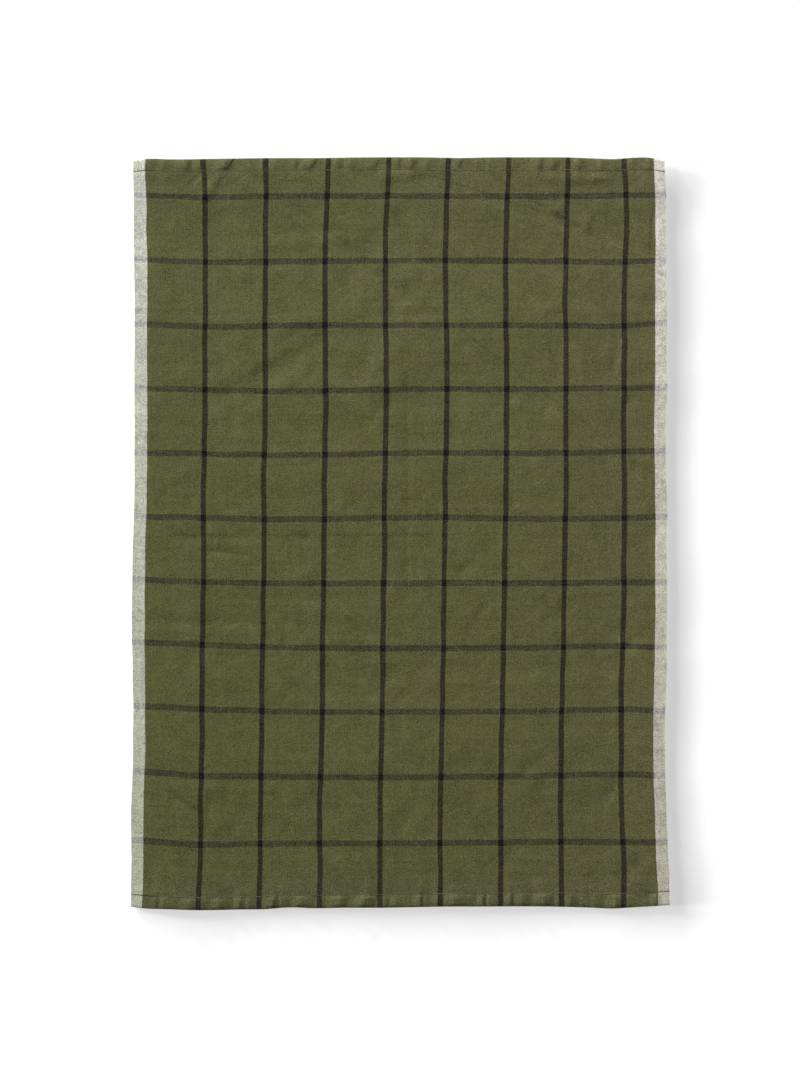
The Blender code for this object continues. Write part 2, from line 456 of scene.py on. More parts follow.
@dataclass(frozen=True)
class Waves:
    """A gentle uneven swell: plane waves of random heading, length and phase, the same for one seed."""

    seed: int
    shortest: float
    longest: float
    height: float
    count: int = 28

    def at(self, x: Array, y: Array) -> Array:
        """Read the swell.

        Args:
            x: Places across the towel.
            y: Places along it.

        Returns:
            The swell at each place, with "height" as its usual size.
        """
        dice = np.random.default_rng(self.seed)
        heading = dice.uniform(0, math.tau, self.count)
        length = np.exp(dice.uniform(math.log(self.shortest), math.log(self.longest), self.count))
        phase = dice.uniform(0, math.tau, self.count)
        swell = np.zeros_like(x)
        for turn, wave, start in zip(heading, length, phase):
            swell += np.sin((x * math.cos(turn) + y * math.sin(turn)) * math.tau / wave + start)
        return swell * self.height / math.sqrt(self.count / 2)


# ---------------- nodes


@dataclass(frozen=True)
class Fade:
    """A change that a shader brings in little by little: none at low, and all of "amount" at high."""

    low: float
    high: float
    amount: float = 1.0


@dataclass(frozen=True)
class Noise:
    """A noise: how many of its lumps go in a metre each way, and how its finer layers are."""

    across: float
    along: float = 0.0  # 0 stands for as many as across
    detail: float = 2.0
    roughness: float = 0.5
    distortion: float = 0.0
    shift: float = 0.0
    turn: float = 0.0  # how far the lumps are turned, in radians


class Wire:
    """A shader socket that can stand in a Python expression. Each operation adds its Math node."""

    def __init__(self, sheet: "NodeSheet", socket: bpy.types.NodeSocket) -> None:
        """Hold the socket and the sheet that it is on."""
        self.sheet = sheet
        self.socket = socket

    def math(self, operation: str, *others: Value) -> "Wire":
        """Return the result of a Math node that takes self first."""
        return self.sheet.math(operation, self, *others)

    def __add__(self, other: Value) -> "Wire":
        """Return self + other."""
        return self.math("ADD", other)

    def __radd__(self, other: Value) -> "Wire":
        """Return other + self."""
        return self.sheet.math("ADD", other, self)

    def __sub__(self, other: Value) -> "Wire":
        """Return self - other."""
        return self.math("SUBTRACT", other)

    def __rsub__(self, other: Value) -> "Wire":
        """Return other - self."""
        return self.sheet.math("SUBTRACT", other, self)

    def __mul__(self, other: Value) -> "Wire":
        """Return self * other."""
        return self.math("MULTIPLY", other)

    def __truediv__(self, other: Value) -> "Wire":
        """Return self / other."""
        return self.math("DIVIDE", other)

    def __abs__(self) -> "Wire":
        """Return the size of self."""
        return self.math("ABSOLUTE")

    def sine(self) -> "Wire":
        """Return the sine of self."""
        return self.math("SINE")

    def ramp(self, low: float, high: float) -> "Wire":
        """Ease from 0 at low to 1 at high.

        Args:
            low: Where the ramp leaves 0.
            high: Where it reaches 1. It may be under low, for a ramp that falls.

        Returns:
            The ramp's value.
        """
        ranged = self.sheet.add(
            "ShaderNodeMapRange",
            {"interpolation_type": "SMOOTHSTEP"},
            {"Value": self, "From Min": low, "From Max": high},
        )
        return Wire(self.sheet, ranged.outputs["Result"])

    def fade(self, change: Fade) -> "Wire":
        """Return how much of a change there is where this value stands."""
        ramped = self.ramp(change.low, change.high)
        return ramped if change.amount == 1.0 else ramped * change.amount


class NodeSheet:
    """A node tree being built, for a material or for Geometry Nodes."""

    def __init__(self, tree: bpy.types.NodeTree) -> None:
        """Hold the tree."""
        self.tree = tree

    def add(
        self,
        kind: str,
        settings: Optional[Mapping[str, Any]] = None,
        sockets: Optional[Mapping[str, Any]] = None,
    ) -> bpy.types.Node:
        """Add one node.

        Args:
            kind: The node's type.
            settings: Its properties, which are set first.
            sockets: What goes into its inputs, by identifier or name: a value, a Wire or another socket.

        Returns:
            The node.
        """
        node = self.tree.nodes.new(kind)
        for name, value in (settings or {}).items():
            setattr(node, name, value)
        for name, value in (sockets or {}).items():
            self.feed(self._input(node, name), value)
        return node

    def feed(self, socket: bpy.types.NodeSocket, value: Any) -> None:
        """Link a socket to a Wire or another socket, or set its value."""
        if isinstance(value, Wire):
            self.tree.links.new(value.socket, socket)
        elif isinstance(value, bpy.types.NodeSocket):
            self.tree.links.new(value, socket)
        elif isinstance(value, tuple) and socket.type == "RGBA":
            socket.default_value = (*value, 1.0)
        else:
            socket.default_value = value

    def math(self, operation: str, *values: Value) -> Wire:
        """Add a Math node.

        Args:
            operation: The node's operation.
            values: What goes into its sockets, in order.

        Returns:
            The node's result.
        """
        node = self.add("ShaderNodeMath", {"operation": operation})
        for socket, value in zip(node.inputs, values):
            self.feed(socket, value)
        return Wire(self, node.outputs[0])

    @staticmethod
    def _input(node: bpy.types.Node, name: str) -> bpy.types.NodeSocket:
        """Find an input by its identifier, or else by its name."""
        for socket in node.inputs:
            if socket.identifier == name:
                return socket
        return node.inputs[name]


class ShaderSheet(NodeSheet):
    """A material's nodes."""

    BLACKEST = (0.002, 0.002, 0.002)

    def __init__(self, name: str) -> None:
        """Start a material with no nodes."""
        self.material = bpy.data.materials.new(name)
        self.material.use_nodes = True
        self.material.node_tree.nodes.clear()
        super().__init__(self.material.node_tree)

    def place(self) -> bpy.types.NodeSocket:
        """Return the object's own coordinates."""
        return self.add("ShaderNodeTexCoord").outputs["Object"]

    def plan(self, place: Any) -> Tuple[Wire, Wire]:
        """Return the first two numbers of some coordinates."""
        split = self.add("ShaderNodeSeparateXYZ", sockets={"Vector": place})
        return Wire(self, split.outputs["X"]), Wire(self, split.outputs["Y"])

    def noise(self, place: Any, look: Noise) -> Wire:
        """Add a noise.

        Args:
            place: The coordinates that it reads.
            look: What it is like.

        Returns:
            The noise, around 0.5.
        """
        if look.turn:
            rotate = {"Vector": place, "Angle": look.turn}
            place = self.add("ShaderNodeVectorRotate", {"rotation_type": "Z_AXIS"}, rotate).outputs["Vector"]
        scale = look.across
        if look.along:
            stretch = {
                "Vector": place,
                "Scale": (look.across, look.along, 1.0),
                "Location": (look.shift, look.shift / 2, look.shift / 3),
            }
            place = self.add("ShaderNodeMapping", {"vector_type": "POINT"}, stretch).outputs["Vector"]
            scale = 1.0
        sockets = {"Vector": place, "Scale": scale, "Detail": look.detail, "Roughness": look.roughness}
        node = self.add("ShaderNodeTexNoise", sockets={**sockets, "Distortion": look.distortion})
        return Wire(self, node.outputs["Fac"])

    def swing(self, place: Any, look: Noise) -> Wire:
        """Return a noise around 0."""
        return self.noise(place, look) - 0.5

    def mix(self, share: Value, first: Any, second: Any) -> bpy.types.NodeSocket:
        """Mix two colours.

        Args:
            share: 0 for the first colour, 1 for the second.
            first: A colour or a socket.
            second: A colour or a socket.

        Returns:
            The mixed colour's socket.
        """
        node = self.add(
            "ShaderNodeMix",
            {"data_type": "RGBA", "clamp_factor": True},
            {"Factor_Float": share, "A_Color": first, "B_Color": second},
        )
        return next(out for out in node.outputs if out.type == "RGBA")

    def vector_math(self, operation: str, first: Any, second: Any) -> bpy.types.Node:
        """Add a Vector Math node that takes two vectors or colours."""
        sockets = {"Vector": first, "Vector_001": second}
        return self.add("ShaderNodeVectorMath", {"operation": operation}, sockets)

    def shade(self, colour: Any, tone: Value) -> bpy.types.NodeSocket:
        """Return a colour made lighter or darker by a factor."""
        sockets = {"Vector": colour, "Scale": tone}
        return self.add("ShaderNodeVectorMath", {"operation": "SCALE"}, sockets).outputs["Vector"]

    def multiply(self, colour: Any, tint: Any) -> bpy.types.NodeSocket:
        """Return a colour multiplied by another."""
        return self.vector_math("MULTIPLY", colour, tint).outputs["Vector"]

    def lighten(self, colour: Any, light: Any) -> bpy.types.NodeSocket:
        """Return a colour with another added, never darker than nearly black."""
        lit = self.vector_math("ADD", colour, light).outputs["Vector"]
        return self.vector_math("MAXIMUM", lit, self.BLACKEST).outputs["Vector"]

    def relief(self, height: Wire, unit: float, strength: float = 1.0) -> bpy.types.NodeSocket:
        """Return which way the surface faces with a fine relief on it, whose height is in "unit" metres."""
        sockets = {"Strength": strength, "Distance": unit, "Height": height}
        return self.add("ShaderNodeBump", sockets=sockets).outputs["Normal"]

    def surface(
        self, colour: Any, roughness: float, gloss: float, facing: Optional[bpy.types.NodeSocket] = None
    ) -> bpy.types.Material:
        """End the material with its one surface.

        Args:
            colour: Its colour.
            roughness: Its roughness.
            gloss: Its specular level.
            facing: Which way it faces, where it has a fine relief.

        Returns:
            The finished material.
        """
        sockets = {"Base Color": colour, "Roughness": roughness, "Specular IOR Level": gloss}
        if facing is not None:
            sockets["Normal"] = facing
        shader = self.add("ShaderNodeBsdfPrincipled", sockets=sockets)
        self.add("ShaderNodeOutputMaterial", sockets={"Surface": shader.outputs[0]})
        return self.material


def total(wires: Sequence[Wire]) -> Wire:
    """Return the sum of some wires."""
    return sum(wires[1:], wires[0])


# ---------------- the weave


@dataclass(frozen=True)
class Stripes:
    """Evenly spaced dark stripes: the first one's middle, the pitch, how many and how wide."""

    first: float
    pitch: float
    count: int
    width: float

    def at(self, number: int) -> float:
        """Return where a stripe's middle is, counted from 0."""
        return self.first + self.pitch * number


@dataclass(frozen=True)
class Check:
    """The woven pattern: dark stripes both ways on green, and a pale band along each selvedge."""

    width: float = 0.499
    face_length: float = 0.7008
    left_band: float = 0.0113
    right_band: float = 0.0106
    warp: Stripes = Stripes(first=0.0651, pitch=0.0563, count=8, width=0.0049)
    weft: Stripes = Stripes(first=0.0600, pitch=0.0604, count=11, width=0.0057)
    yarn: float = 0.00056


RAGGED_WARP = Noise(900, 60)
RAGGED_WEFT = Noise(60, 900, shift=3.0)
RAGGED_BAND = Noise(40, 900, shift=5.0)
WARP_SLUBS = Noise(1500, 28, roughness=0.6, shift=1.0)
WEFT_SLUBS = Noise(28, 1500, roughness=0.6, shift=2.0)
WEAR = Noise(9, detail=3.0, roughness=0.55)
RUST_DRIFT = Noise(7, detail=3.0, roughness=0.6)
RUST_FLECKS = Noise(30, detail=3.0, roughness=0.6)
PALE_BLOTCHES = Noise(210, detail=3.0, roughness=0.6)
SINGLE_FIBRES = Noise(900, roughness=0.7)
SPECKS = Noise(260, detail=3.0, roughness=0.6, distortion=0.4)
CLOUDS = Noise(50, detail=3.0)
BARS = Noise(7, 170, detail=3.0, roughness=0.6, shift=7.0)
WIDE_BARS = Noise(1.6, 75, detail=3.0, roughness=0.6, shift=8.0)
HAIRS_UP = Noise(80, 20, roughness=0.4, distortion=0.3, shift=15.0, turn=0.75)
HAIRS_DOWN = Noise(80, 20, roughness=0.4, distortion=0.3, shift=16.0, turn=-0.75)
TUFTS = Noise(60, detail=1.0, distortion=0.2)
HUES = Noise(190, 190, detail=3.0, roughness=0.62, shift=9.0)
CRUMPLE = Noise(60, detail=3.0, roughness=0.55, distortion=0.6)
STEEP_WRINKLES = Noise(270, 105, detail=3.0, roughness=0.55, distortion=1.3, shift=11.0, turn=0.85)
FLAT_WRINKLES = Noise(250, 105, detail=3.0, roughness=0.55, distortion=1.3, shift=12.0, turn=0.35)
WRINKLED_PATCHES = Noise(24, distortion=0.3)


@dataclass
class ClothSpot:
    """What the cotton's nodes know of a spot on the cloth. Shares and masks go from 0 to 1."""

    uv: bpy.types.NodeSocket
    over_share: Wire  # of the width, from the left selvedge
    up_share: Wire  # of the face's length, from the lower fold
    from_end: Wire  # how far the nearer fold is, in metres
    band: Wire  # 1 on a pale band
    warp_stripe: Wire  # 1 on a lengthwise dark stripe
    weft_stripe: Wire  # 1 on a crosswise dark stripe
    warp_turn: Wire  # from -1 to 1, over and over, across the warp yarns
    weft_turn: Wire  # the same along them, across the weft yarns
    warp_slub: Wire
    weft_slub: Wire


@dataclass(frozen=True)
class CottonFinish:
    """Washed cotton in a plain weave, with the check's colours and its slubs, patches and pressed lines, and
    painted light and shade.
    """

    check: Check
    face_start: float  # the cut length up to the lower fold
    green_warp: Colour = (0.0985, 0.1085, 0.0395)
    green_weft: Colour = (0.0900, 0.0910, 0.0355)
    worn_and_lit_green: Colour = (0.1080, 0.1170, 0.0470)
    grey_green: Colour = (0.1000, 0.1075, 0.0500)
    brown: Colour = (0.112, 0.090, 0.042)
    dark: Colour = (0.0130, 0.0102, 0.0138)
    pale: Colour = (0.480, 0.468, 0.360)
    # painted light: the pale band's colour at the upper end, lighter as the light falls
    pale_upper: Colour = (0.575, 0.565, 0.490)
    pale_blotch: Colour = (0.400, 0.385, 0.330)
    pale_weft: Colour = (0.470, 0.440, 0.425)
    warm_tint: Colour = (1.036, 0.986, 1.008)
    cool_tint: Colour = (0.968, 1.014, 1.004)
    left_tint: Colour = (1.000, 1.030, 1.010)  # the pale band on each side
    right_tint: Colour = (0.990, 0.965, 0.985)
    striped_tint: Colour = (1.020, 1.020, 1.130)  # where a stripe crosses a pale band
    weft_tint: Colour = (0.962, 0.938, 1.030)  # the stripes across the towel
    crossed_tint: Colour = (1.050, 1.070, 0.830)  # where two stripes cross
    grain: Colour = (0.96, 1.00, 0.60)  # the greyish light of single fibres
    roughness: float = 0.88
    gloss: float = 0.06

    # How far the stripes' and the bands' edges stray, and how soft they are
    warp_stray: float = 0.0005
    weft_stray: float = 0.0006
    band_stray: float = 0.0006
    stripe_blur: float = 0.00025
    band_blur: float = 0.0003

    # How much more of the warp shows than of the weft: everywhere, by its slubs and on a pale band. On a
    # crosswise stripe, less of it shows.
    warp_lead: float = 0.36
    slub_lead: float = 0.9
    band_lead: float = 0.40
    weft_stripe_lead: float = 0.38
    yarn_edge: float = 0.2

    # Where the green is worn, greyed or rusty, and where painted light makes it lighter and greyer: towards
    # the upper end, as the light falls, and on the hems as a painted sheen
    worn: Fade = Fade(0.38, 0.66, 0.35)
    upwards: Fade = Fade(0.1, 1.1)
    upper_painted_light: float = 0.30
    greyed_over: Fade = Fade(0.45, 1.05, 0.46)
    # painted light: greyer towards the upper end as the light falls, and greyer on both hems for a painted
    # sheen
    painted_grey_up: Tuple[Fade, ...] = (
        Fade(0.55, 1.05, 0.36),
        Fade(0.055, 0.010, 0.9),
        Fade(0.970, 0.990, 0.5),
    )
    rust_drift: float = 1.5
    rust_over: Fade = Fade(0.15, 0.85, 0.14)
    rust_flecks: Fade = Fade(0.52, 0.74, 0.12)
    blotched: Fade = Fade(0.42, 0.70, 0.75)
    hue_swing: Fade = Fade(0.3, 0.7)
    hue_held_by_band: float = 0.65

    # How light the cloth is, and how strongly each pattern changes it
    light: float = 1.02
    cloud_tone: float = 0.46
    bar_tone: float = 0.26
    warp_slub_tone: float = 0.30
    weft_slub_tone: float = 0.25
    speck_tone: float = 0.34
    band_fibre_tone: float = 2.4
    band_speck_tone: float = 0.46
    crossing_tone: float = 0.28
    # painted light and shade along the pressed lines
    stroke_painted_shading: float = 0.22
    # Painted light: the hems lighter. Painted shade: the lower end darker
    hem_painted_light: Tuple[Fade, ...] = (
        Fade(0.055, 0.035, 0.035),
        Fade(0.022, 0.012, 0.022),
        Fade(0.975, 0.985, 0.085),
    )
    lower_shade: Fade = Fade(0.25, 0.03, 0.050)

    # The light that single fibres, specks and hairs add, and how far a lengthwise stripe dims it
    fibre_light: float = 0.31
    speck_light: float = 0.040
    hair_light: float = 0.018
    stripe_dimming: float = 0.5
    hair: Fade = Fade(0.016, 0.004)
    tufted: Fade = Fade(0.57, 0.66)
    near_end: Fade = Fade(0.048, 0.018)
    tufts_near_end: float = 0.04

    # The relief, in millimetres
    warp_height: float = 0.07
    weft_height: float = 0.05
    crumple_height: float = -0.9
    wrinkle_height: float = 0.26
    wrinkle_height_near_end: float = 0.60
    unwrinkled_end: Fade = Fade(0.007, 0.015)
    wrinkled: Fade = Fade(0.38, 0.62)
    speck_height: float = 0.14
    hair_height: float = 0.09

    # Pressed lines: how far past their ends and how far inside them they fade
    stroke_overrun: float = 0.001
    stroke_taper: float = 0.004

    def dress(self) -> bpy.types.Material:
        """Build the material.

        Returns:
            The cloth's material.
        """
        sheet = ShaderSheet("green_check_cotton")
        spot = self._spot(sheet)
        fine, specks = sheet.swing(spot.uv, SINGLE_FIBRES), sheet.swing(spot.uv, SPECKS)
        near_end = spot.from_end.fade(self.near_end)
        hair = self._hair(sheet, spot, near_end)
        strokes, steps = self._strokes(sheet)

        # the pressed lines' painted light and shade
        tone = self._tone(sheet, spot, fine, specks) + strokes * self.stroke_painted_shading
        colour = sheet.shade(self._tinted(sheet, spot, self._woven(sheet, spot)), tone)
        fibres = fine * self.fibre_light + specks * self.speck_light + hair * self.hair_light
        fibres = fibres * (1 - spot.warp_stripe * self.stripe_dimming) * (1 - spot.band)
        colour = sheet.lighten(colour, sheet.shade(self.grain, fibres))

        height = self._relief(sheet, spot, near_end) + specks * self.speck_height
        height = height + steps + hair * self.hair_height
        return sheet.surface(colour, self.roughness, self.gloss, sheet.relief(height, MM))

    def _spot(self, sheet: ShaderSheet) -> ClothSpot:
        """Read the cloth's flat measures, and mask its stripes and bands.

        Args:
            sheet: The material's nodes.

        Returns:
            What the nodes know of a spot.
        """
        check = self.check
        uv = sheet.add("ShaderNodeUVMap", {"uv_map": "cloth"}).outputs["UV"]
        across, cut = sheet.plan(uv)
        along = cut - self.face_start
        up_share = along / check.face_length
        return ClothSpot(
            uv=uv,
            over_share=across / check.width,
            up_share=up_share,
            from_end=(up_share * math.pi).sine() * (check.face_length / math.pi),
            band=self._band(across + sheet.swing(uv, RAGGED_BAND) * self.band_stray),
            warp_stripe=self._stripe(across + sheet.swing(uv, RAGGED_WARP) * self.warp_stray, check.warp),
            weft_stripe=self._stripe(along + sheet.swing(uv, RAGGED_WEFT) * self.weft_stray, check.weft),
            warp_turn=(across / check.yarn * math.pi).sine(),
            weft_turn=(along / check.yarn * math.pi).sine(),
            warp_slub=sheet.noise(uv, WARP_SLUBS),
            weft_slub=sheet.noise(uv, WEFT_SLUBS),
        )

    def _stripe(self, spot: Wire, stripes: Stripes) -> Wire:
        """Mask a row of stripes.

        Args:
            spot: A flat measure that crosses them.
            stripes: The stripes.

        Returns:
            1 on a stripe and 0 between stripes.
        """
        half_pitch = stripes.pitch / 2
        offset = abs((spot - stripes.first).math("WRAP", half_pitch, -half_pitch))
        last = stripes.at(stripes.count - 1)
        inside = spot.math("COMPARE", (stripes.first + last) / 2, (last - stripes.first) / 2 + half_pitch)
        edge = stripes.width / 2
        return offset.ramp(edge + self.stripe_blur, edge - self.stripe_blur) * inside

    def _band(self, across: Wire) -> Wire:
        """Return 1 on the pale bands along the selvedges and 0 between them."""
        left, right = self.check.left_band, self.check.width - self.check.right_band
        mask = across.ramp(left + self.band_blur, left - self.band_blur)
        return mask + across.ramp(right - self.band_blur, right + self.band_blur)

    def _woven(self, sheet: ShaderSheet, spot: ClothSpot) -> bpy.types.NodeSocket:
        """Weave the two yarns: green, dark or pale.

        Args:
            sheet: The material's nodes.
            spot: The spot on the cloth.

        Returns:
            The colour of the yarn on top.
        """
        worn = sheet.noise(spot.uv, WEAR).fade(self.worn)
        # painted light: the green and the pale band lighter and greyer towards the upper end, as the light
        # falls, and greyer on the hems for a painted sheen
        upwards = spot.up_share.fade(self.upwards)
        greyed = [spot.over_share.fade(self.greyed_over)]
        greyed += [spot.up_share.fade(change) for change in self.painted_grey_up]
        patch = spot.over_share + sheet.swing(spot.uv, RUST_DRIFT) * self.rust_drift
        rust = patch.fade(self.rust_over) + sheet.noise(spot.uv, RUST_FLECKS).fade(self.rust_flecks)

        green = sheet.mix(worn + upwards * self.upper_painted_light, self.green_warp, self.worn_and_lit_green)
        green = sheet.mix(rust, sheet.mix(total(greyed), green, self.grey_green), self.brown)
        warp = sheet.mix(spot.warp_stripe, green, self.dark)
        blotch = sheet.noise(spot.uv, PALE_BLOTCHES).fade(self.blotched)
        pale = sheet.mix(upwards, self.pale, self.pale_upper)
        warp = sheet.mix(spot.band, warp, sheet.mix(blotch, pale, self.pale_blotch))
        weft = sheet.mix(spot.band, sheet.mix(rust, self.green_weft, self.brown), self.pale_weft)
        weft = sheet.mix(spot.weft_stripe, weft, self.dark)

        lead = self.warp_lead + (spot.warp_slub - spot.weft_slub) * self.slub_lead
        lead = lead + spot.band * self.band_lead
        lead = lead - spot.weft_stripe * (1 - spot.warp_stripe) * self.weft_stripe_lead
        warp_on_top = (spot.warp_turn * spot.weft_turn + lead).ramp(-self.yarn_edge, self.yarn_edge)
        return sheet.mix(warp_on_top, weft, warp)

    def _tinted(self, sheet: ShaderSheet, spot: ClothSpot, colour: Any) -> bpy.types.NodeSocket:
        """Add the tints of the bands, the stripes and the uneven dye.

        Args:
            sheet: The material's nodes.
            spot: The spot on the cloth.
            colour: The woven colour.

        Returns:
            The tinted colour.
        """
        stripe_tint = sheet.mix(spot.band, self.weft_tint, self.striped_tint)
        for mask, tint in (
            (spot.band, sheet.mix(spot.over_share, self.left_tint, self.right_tint)),
            (spot.weft_stripe, stripe_tint),
            (spot.warp_stripe * spot.weft_stripe, self.crossed_tint),
        ):
            colour = sheet.mix(mask, colour, sheet.multiply(colour, tint))
        hue = sheet.noise(spot.uv, HUES).fade(self.hue_swing)
        hue = 0.5 + (hue - 0.5) * (1 - spot.band * self.hue_held_by_band)
        return sheet.multiply(colour, sheet.mix(hue, self.warm_tint, self.cool_tint))

    def _tone(self, sheet: ShaderSheet, spot: ClothSpot, fine: Wire, specks: Wire) -> Wire:
        """Return how light the cloth is.

        Args:
            sheet: The material's nodes.
            spot: The spot on the cloth.
            fine: The swing of the single fibres.
            specks: The swing of the specks.

        Returns:
            The factor, around 1.
        """
        tone = self.light + sheet.swing(spot.uv, CLOUDS) * self.cloud_tone
        tone = tone + sheet.swing(spot.uv, BARS) * self.bar_tone
        tone = tone + sheet.swing(spot.uv, WIDE_BARS) * self.bar_tone
        slubs = (spot.warp_slub - 0.5) * self.warp_slub_tone + (spot.weft_slub - 0.5) * self.weft_slub_tone
        tone = tone + slubs + specks * self.speck_tone
        tone = tone + (fine * self.band_fibre_tone + specks * self.band_speck_tone) * spot.band
        tone = tone * (1 - spot.warp_stripe * spot.weft_stripe * self.crossing_tone)
        # painted light on the hems, and painted shade towards the lower end
        hem_light = total([spot.up_share.fade(change) for change in self.hem_painted_light])
        return tone * (1 + hem_light - spot.up_share.fade(self.lower_shade))

    def _hair(self, sheet: ShaderSheet, spot: ClothSpot, near_end: Wire) -> Wire:
        """Draw the fine pale hairlines, which come in tufts and lean either way.

        Args:
            sheet: The material's nodes.
            spot: The spot on the cloth.
            near_end: 1 near the cloth's ends.

        Returns:
            1 on a hairline.
        """
        tufts = sheet.noise(spot.uv, TUFTS)
        more = near_end * self.tufts_near_end
        up = abs(sheet.swing(spot.uv, HAIRS_UP)).fade(self.hair) * (tufts + more).fade(self.tufted)
        down = abs(sheet.swing(spot.uv, HAIRS_DOWN)).fade(self.hair) * (1 - tufts + more).fade(self.tufted)
        return up + down

    def _relief(self, sheet: ShaderSheet, spot: ClothSpot, near_end: Wire) -> Wire:
        """Raise the yarns, the crumple and the small wrinkles.

        Args:
            sheet: The material's nodes.
            spot: The spot on the cloth.
            near_end: 1 near the cloth's ends.

        Returns:
            The height in millimetres.
        """
        weave = abs(spot.warp_turn) * self.warp_height + abs(spot.weft_turn) * self.weft_height
        crumple = abs(sheet.swing(spot.uv, CRUMPLE)) * self.crumple_height
        wrinkles = abs(sheet.swing(spot.uv, STEEP_WRINKLES)) + abs(sheet.swing(spot.uv, FLAT_WRINKLES))
        near_end = near_end * spot.from_end.fade(self.unwrinkled_end)
        depth = near_end * self.wrinkle_height_near_end + self.wrinkle_height
        patchy = sheet.noise(spot.uv, WRINKLED_PATCHES).fade(self.wrinkled)
        return weave + crumple - wrinkles * depth * patchy

    def _strokes(self, sheet: ShaderSheet) -> Tuple[Wire, Wire]:
        """Draw the fine pressed lines, with their painted light and shade.

        Args:
            sheet: The material's nodes.

        Returns:
            The lines' painted light and shade, which fades to 0 over each one's half width, and how high
            their steps raise the cloth, in millimetres.
        """
        flat = sheet.multiply(sheet.place(), (1.0, 1.0, 0.0))
        painted_shadings, steps = [], []
        for stroke in STROKES:
            run = Vector((stroke.to_x - stroke.x, stroke.to_y - stroke.y, 0.0))
            way, half = run.normalized(), run.length / 2
            away = sheet.vector_math("SUBTRACT", flat, (stroke.x, stroke.y, 0.0)).outputs["Vector"]
            forward = sheet.vector_math("DOT_PRODUCT", away, tuple(way)).outputs["Value"]
            side = Wire(sheet, sheet.vector_math("DOT_PRODUCT", away, (-way.y, way.x, 0.0)).outputs["Value"])
            taper = min(self.stroke_taper, half / 2)
            within = abs(Wire(sheet, forward) - half).ramp(half + self.stroke_overrun, half - taper)
            if stroke.tone:
                painted_shadings.append(abs(side).ramp(stroke.half_width, 0.0) * within * stroke.tone)
            if stroke.step:
                steps.append(side.ramp(-stroke.half_width, stroke.half_width) * within * stroke.step)
        return total(painted_shadings), total(steps)


@dataclass(frozen=True)
class ThreadFinish:
    """Twisted cotton sewing thread, with painted shade in patches along it and most of all beside the
    selvedges.
    """

    colour: Colour = (0.150, 0.160, 0.085)
    shadow: Colour = (0.030, 0.028, 0.018)
    roughness: float = 0.75
    gloss: float = 0.3
    twist: float = 0.0005  # the length of one turn of the plies
    twist_slope: float = 0.8
    ply_depth: float = 0.04 * MM
    ply_strength: float = 0.6
    ply_shade: float = 0.15
    fleck_shade: float = 0.10
    fleck: Noise = Noise(1600)
    # painted shade: patches along the stitch line, and the thread darker beside the selvedges
    stitch_shade_patches: Noise = Noise(340, detail=1.0)
    stretch_shade_patches: Noise = Noise(40)
    stitch_painted_shade: Fade = Fade(0.40, 0.60, 0.32)
    stretch_painted_shade: Fade = Fade(0.40, 0.60, 0.28)
    painted_groove_shade: Fade = Fade(0.225, 0.240)

    def dress(self) -> bpy.types.Material:
        """Build the material.

        Returns:
            The thread's material.
        """
        sheet = ShaderSheet("olive_sewing_thread")
        place = sheet.place()
        across, up = sheet.plan(place)
        plies = ((across + up * self.twist_slope) * math.tau / self.twist).sine() * 0.5 + 0.5
        # painted shade, in patches and beside the selvedges
        worn = sheet.noise(place, self.stitch_shade_patches).fade(self.stitch_painted_shade)
        worn = worn + sheet.noise(place, self.stretch_shade_patches).fade(self.stretch_painted_shade)
        painted_groove_shade = worn + abs(across).fade(self.painted_groove_shade)
        shade = plies * self.ply_shade + sheet.noise(place, self.fleck) * self.fleck_shade + painted_groove_shade
        colour = sheet.mix(shade, self.colour, self.shadow)
        facing = sheet.relief(plies, self.ply_depth, self.ply_strength)
        return sheet.surface(colour, self.roughness, self.gloss, facing)


@dataclass(frozen=True)
class LoopFinish:
    """The crosswise yarn where it turns back at a selvedge: pale, and darker where a dark stripe ends."""

    weft: Stripes
    # painted light: both colours are lighter than the same yarns in the cloth, against the shade at the
    # cloth's edge
    pale: Colour = (0.64, 0.62, 0.51)
    stripe: Colour = (0.38, 0.365, 0.365)
    roughness: float = 0.9
    gloss: float = 0.25
    blur: float = 0.0003
    fleck: Noise = Noise(900)
    darkest: float = 0.8
    fleck_tone: float = 0.4

    def dress(self) -> bpy.types.Material:
        """Build the material.

        Returns:
            The loops' material.
        """
        sheet = ShaderSheet("selvedge_yarn")
        pick = Wire(sheet, sheet.add("ShaderNodeAttribute", {"attribute_name": "pick"}).outputs["Fac"])
        half_pitch, edge = self.weft.pitch / 2, self.weft.width / 2
        offset = abs((pick - self.weft.first).math("WRAP", half_pitch, -half_pitch))
        striped = offset.ramp(edge + self.blur, edge - self.blur)
        tone = self.darkest + sheet.noise(sheet.place(), self.fleck) * self.fleck_tone
        colour = sheet.shade(sheet.mix(striped, self.pale, self.stripe), tone)
        return sheet.surface(colour, self.roughness, self.gloss)


@dataclass(frozen=True)
class FibreFinish:
    """Pale matted fibre."""

    pale: Colour = (0.46, 0.47, 0.33)
    deep: Colour = (0.28, 0.29, 0.18)
    roughness: float = 0.95
    gloss: float = 0.2
    fleck: Noise = Noise(2500)

    def dress(self) -> bpy.types.Material:
        """Build the material.

        Returns:
            The fibre's material.
        """
        sheet = ShaderSheet("pale_fibre")
        colour = sheet.mix(sheet.noise(sheet.place(), self.fleck), self.pale, self.deep)
        return sheet.surface(colour, self.roughness, self.gloss)


# ---------------- the cloth


@dataclass(frozen=True)
class HemRow:
    """One row of the grid inside a hem. Its inset from the end is fixed + share * the hem's depth."""

    fixed: float
    share: float
    height: float
    cut: float


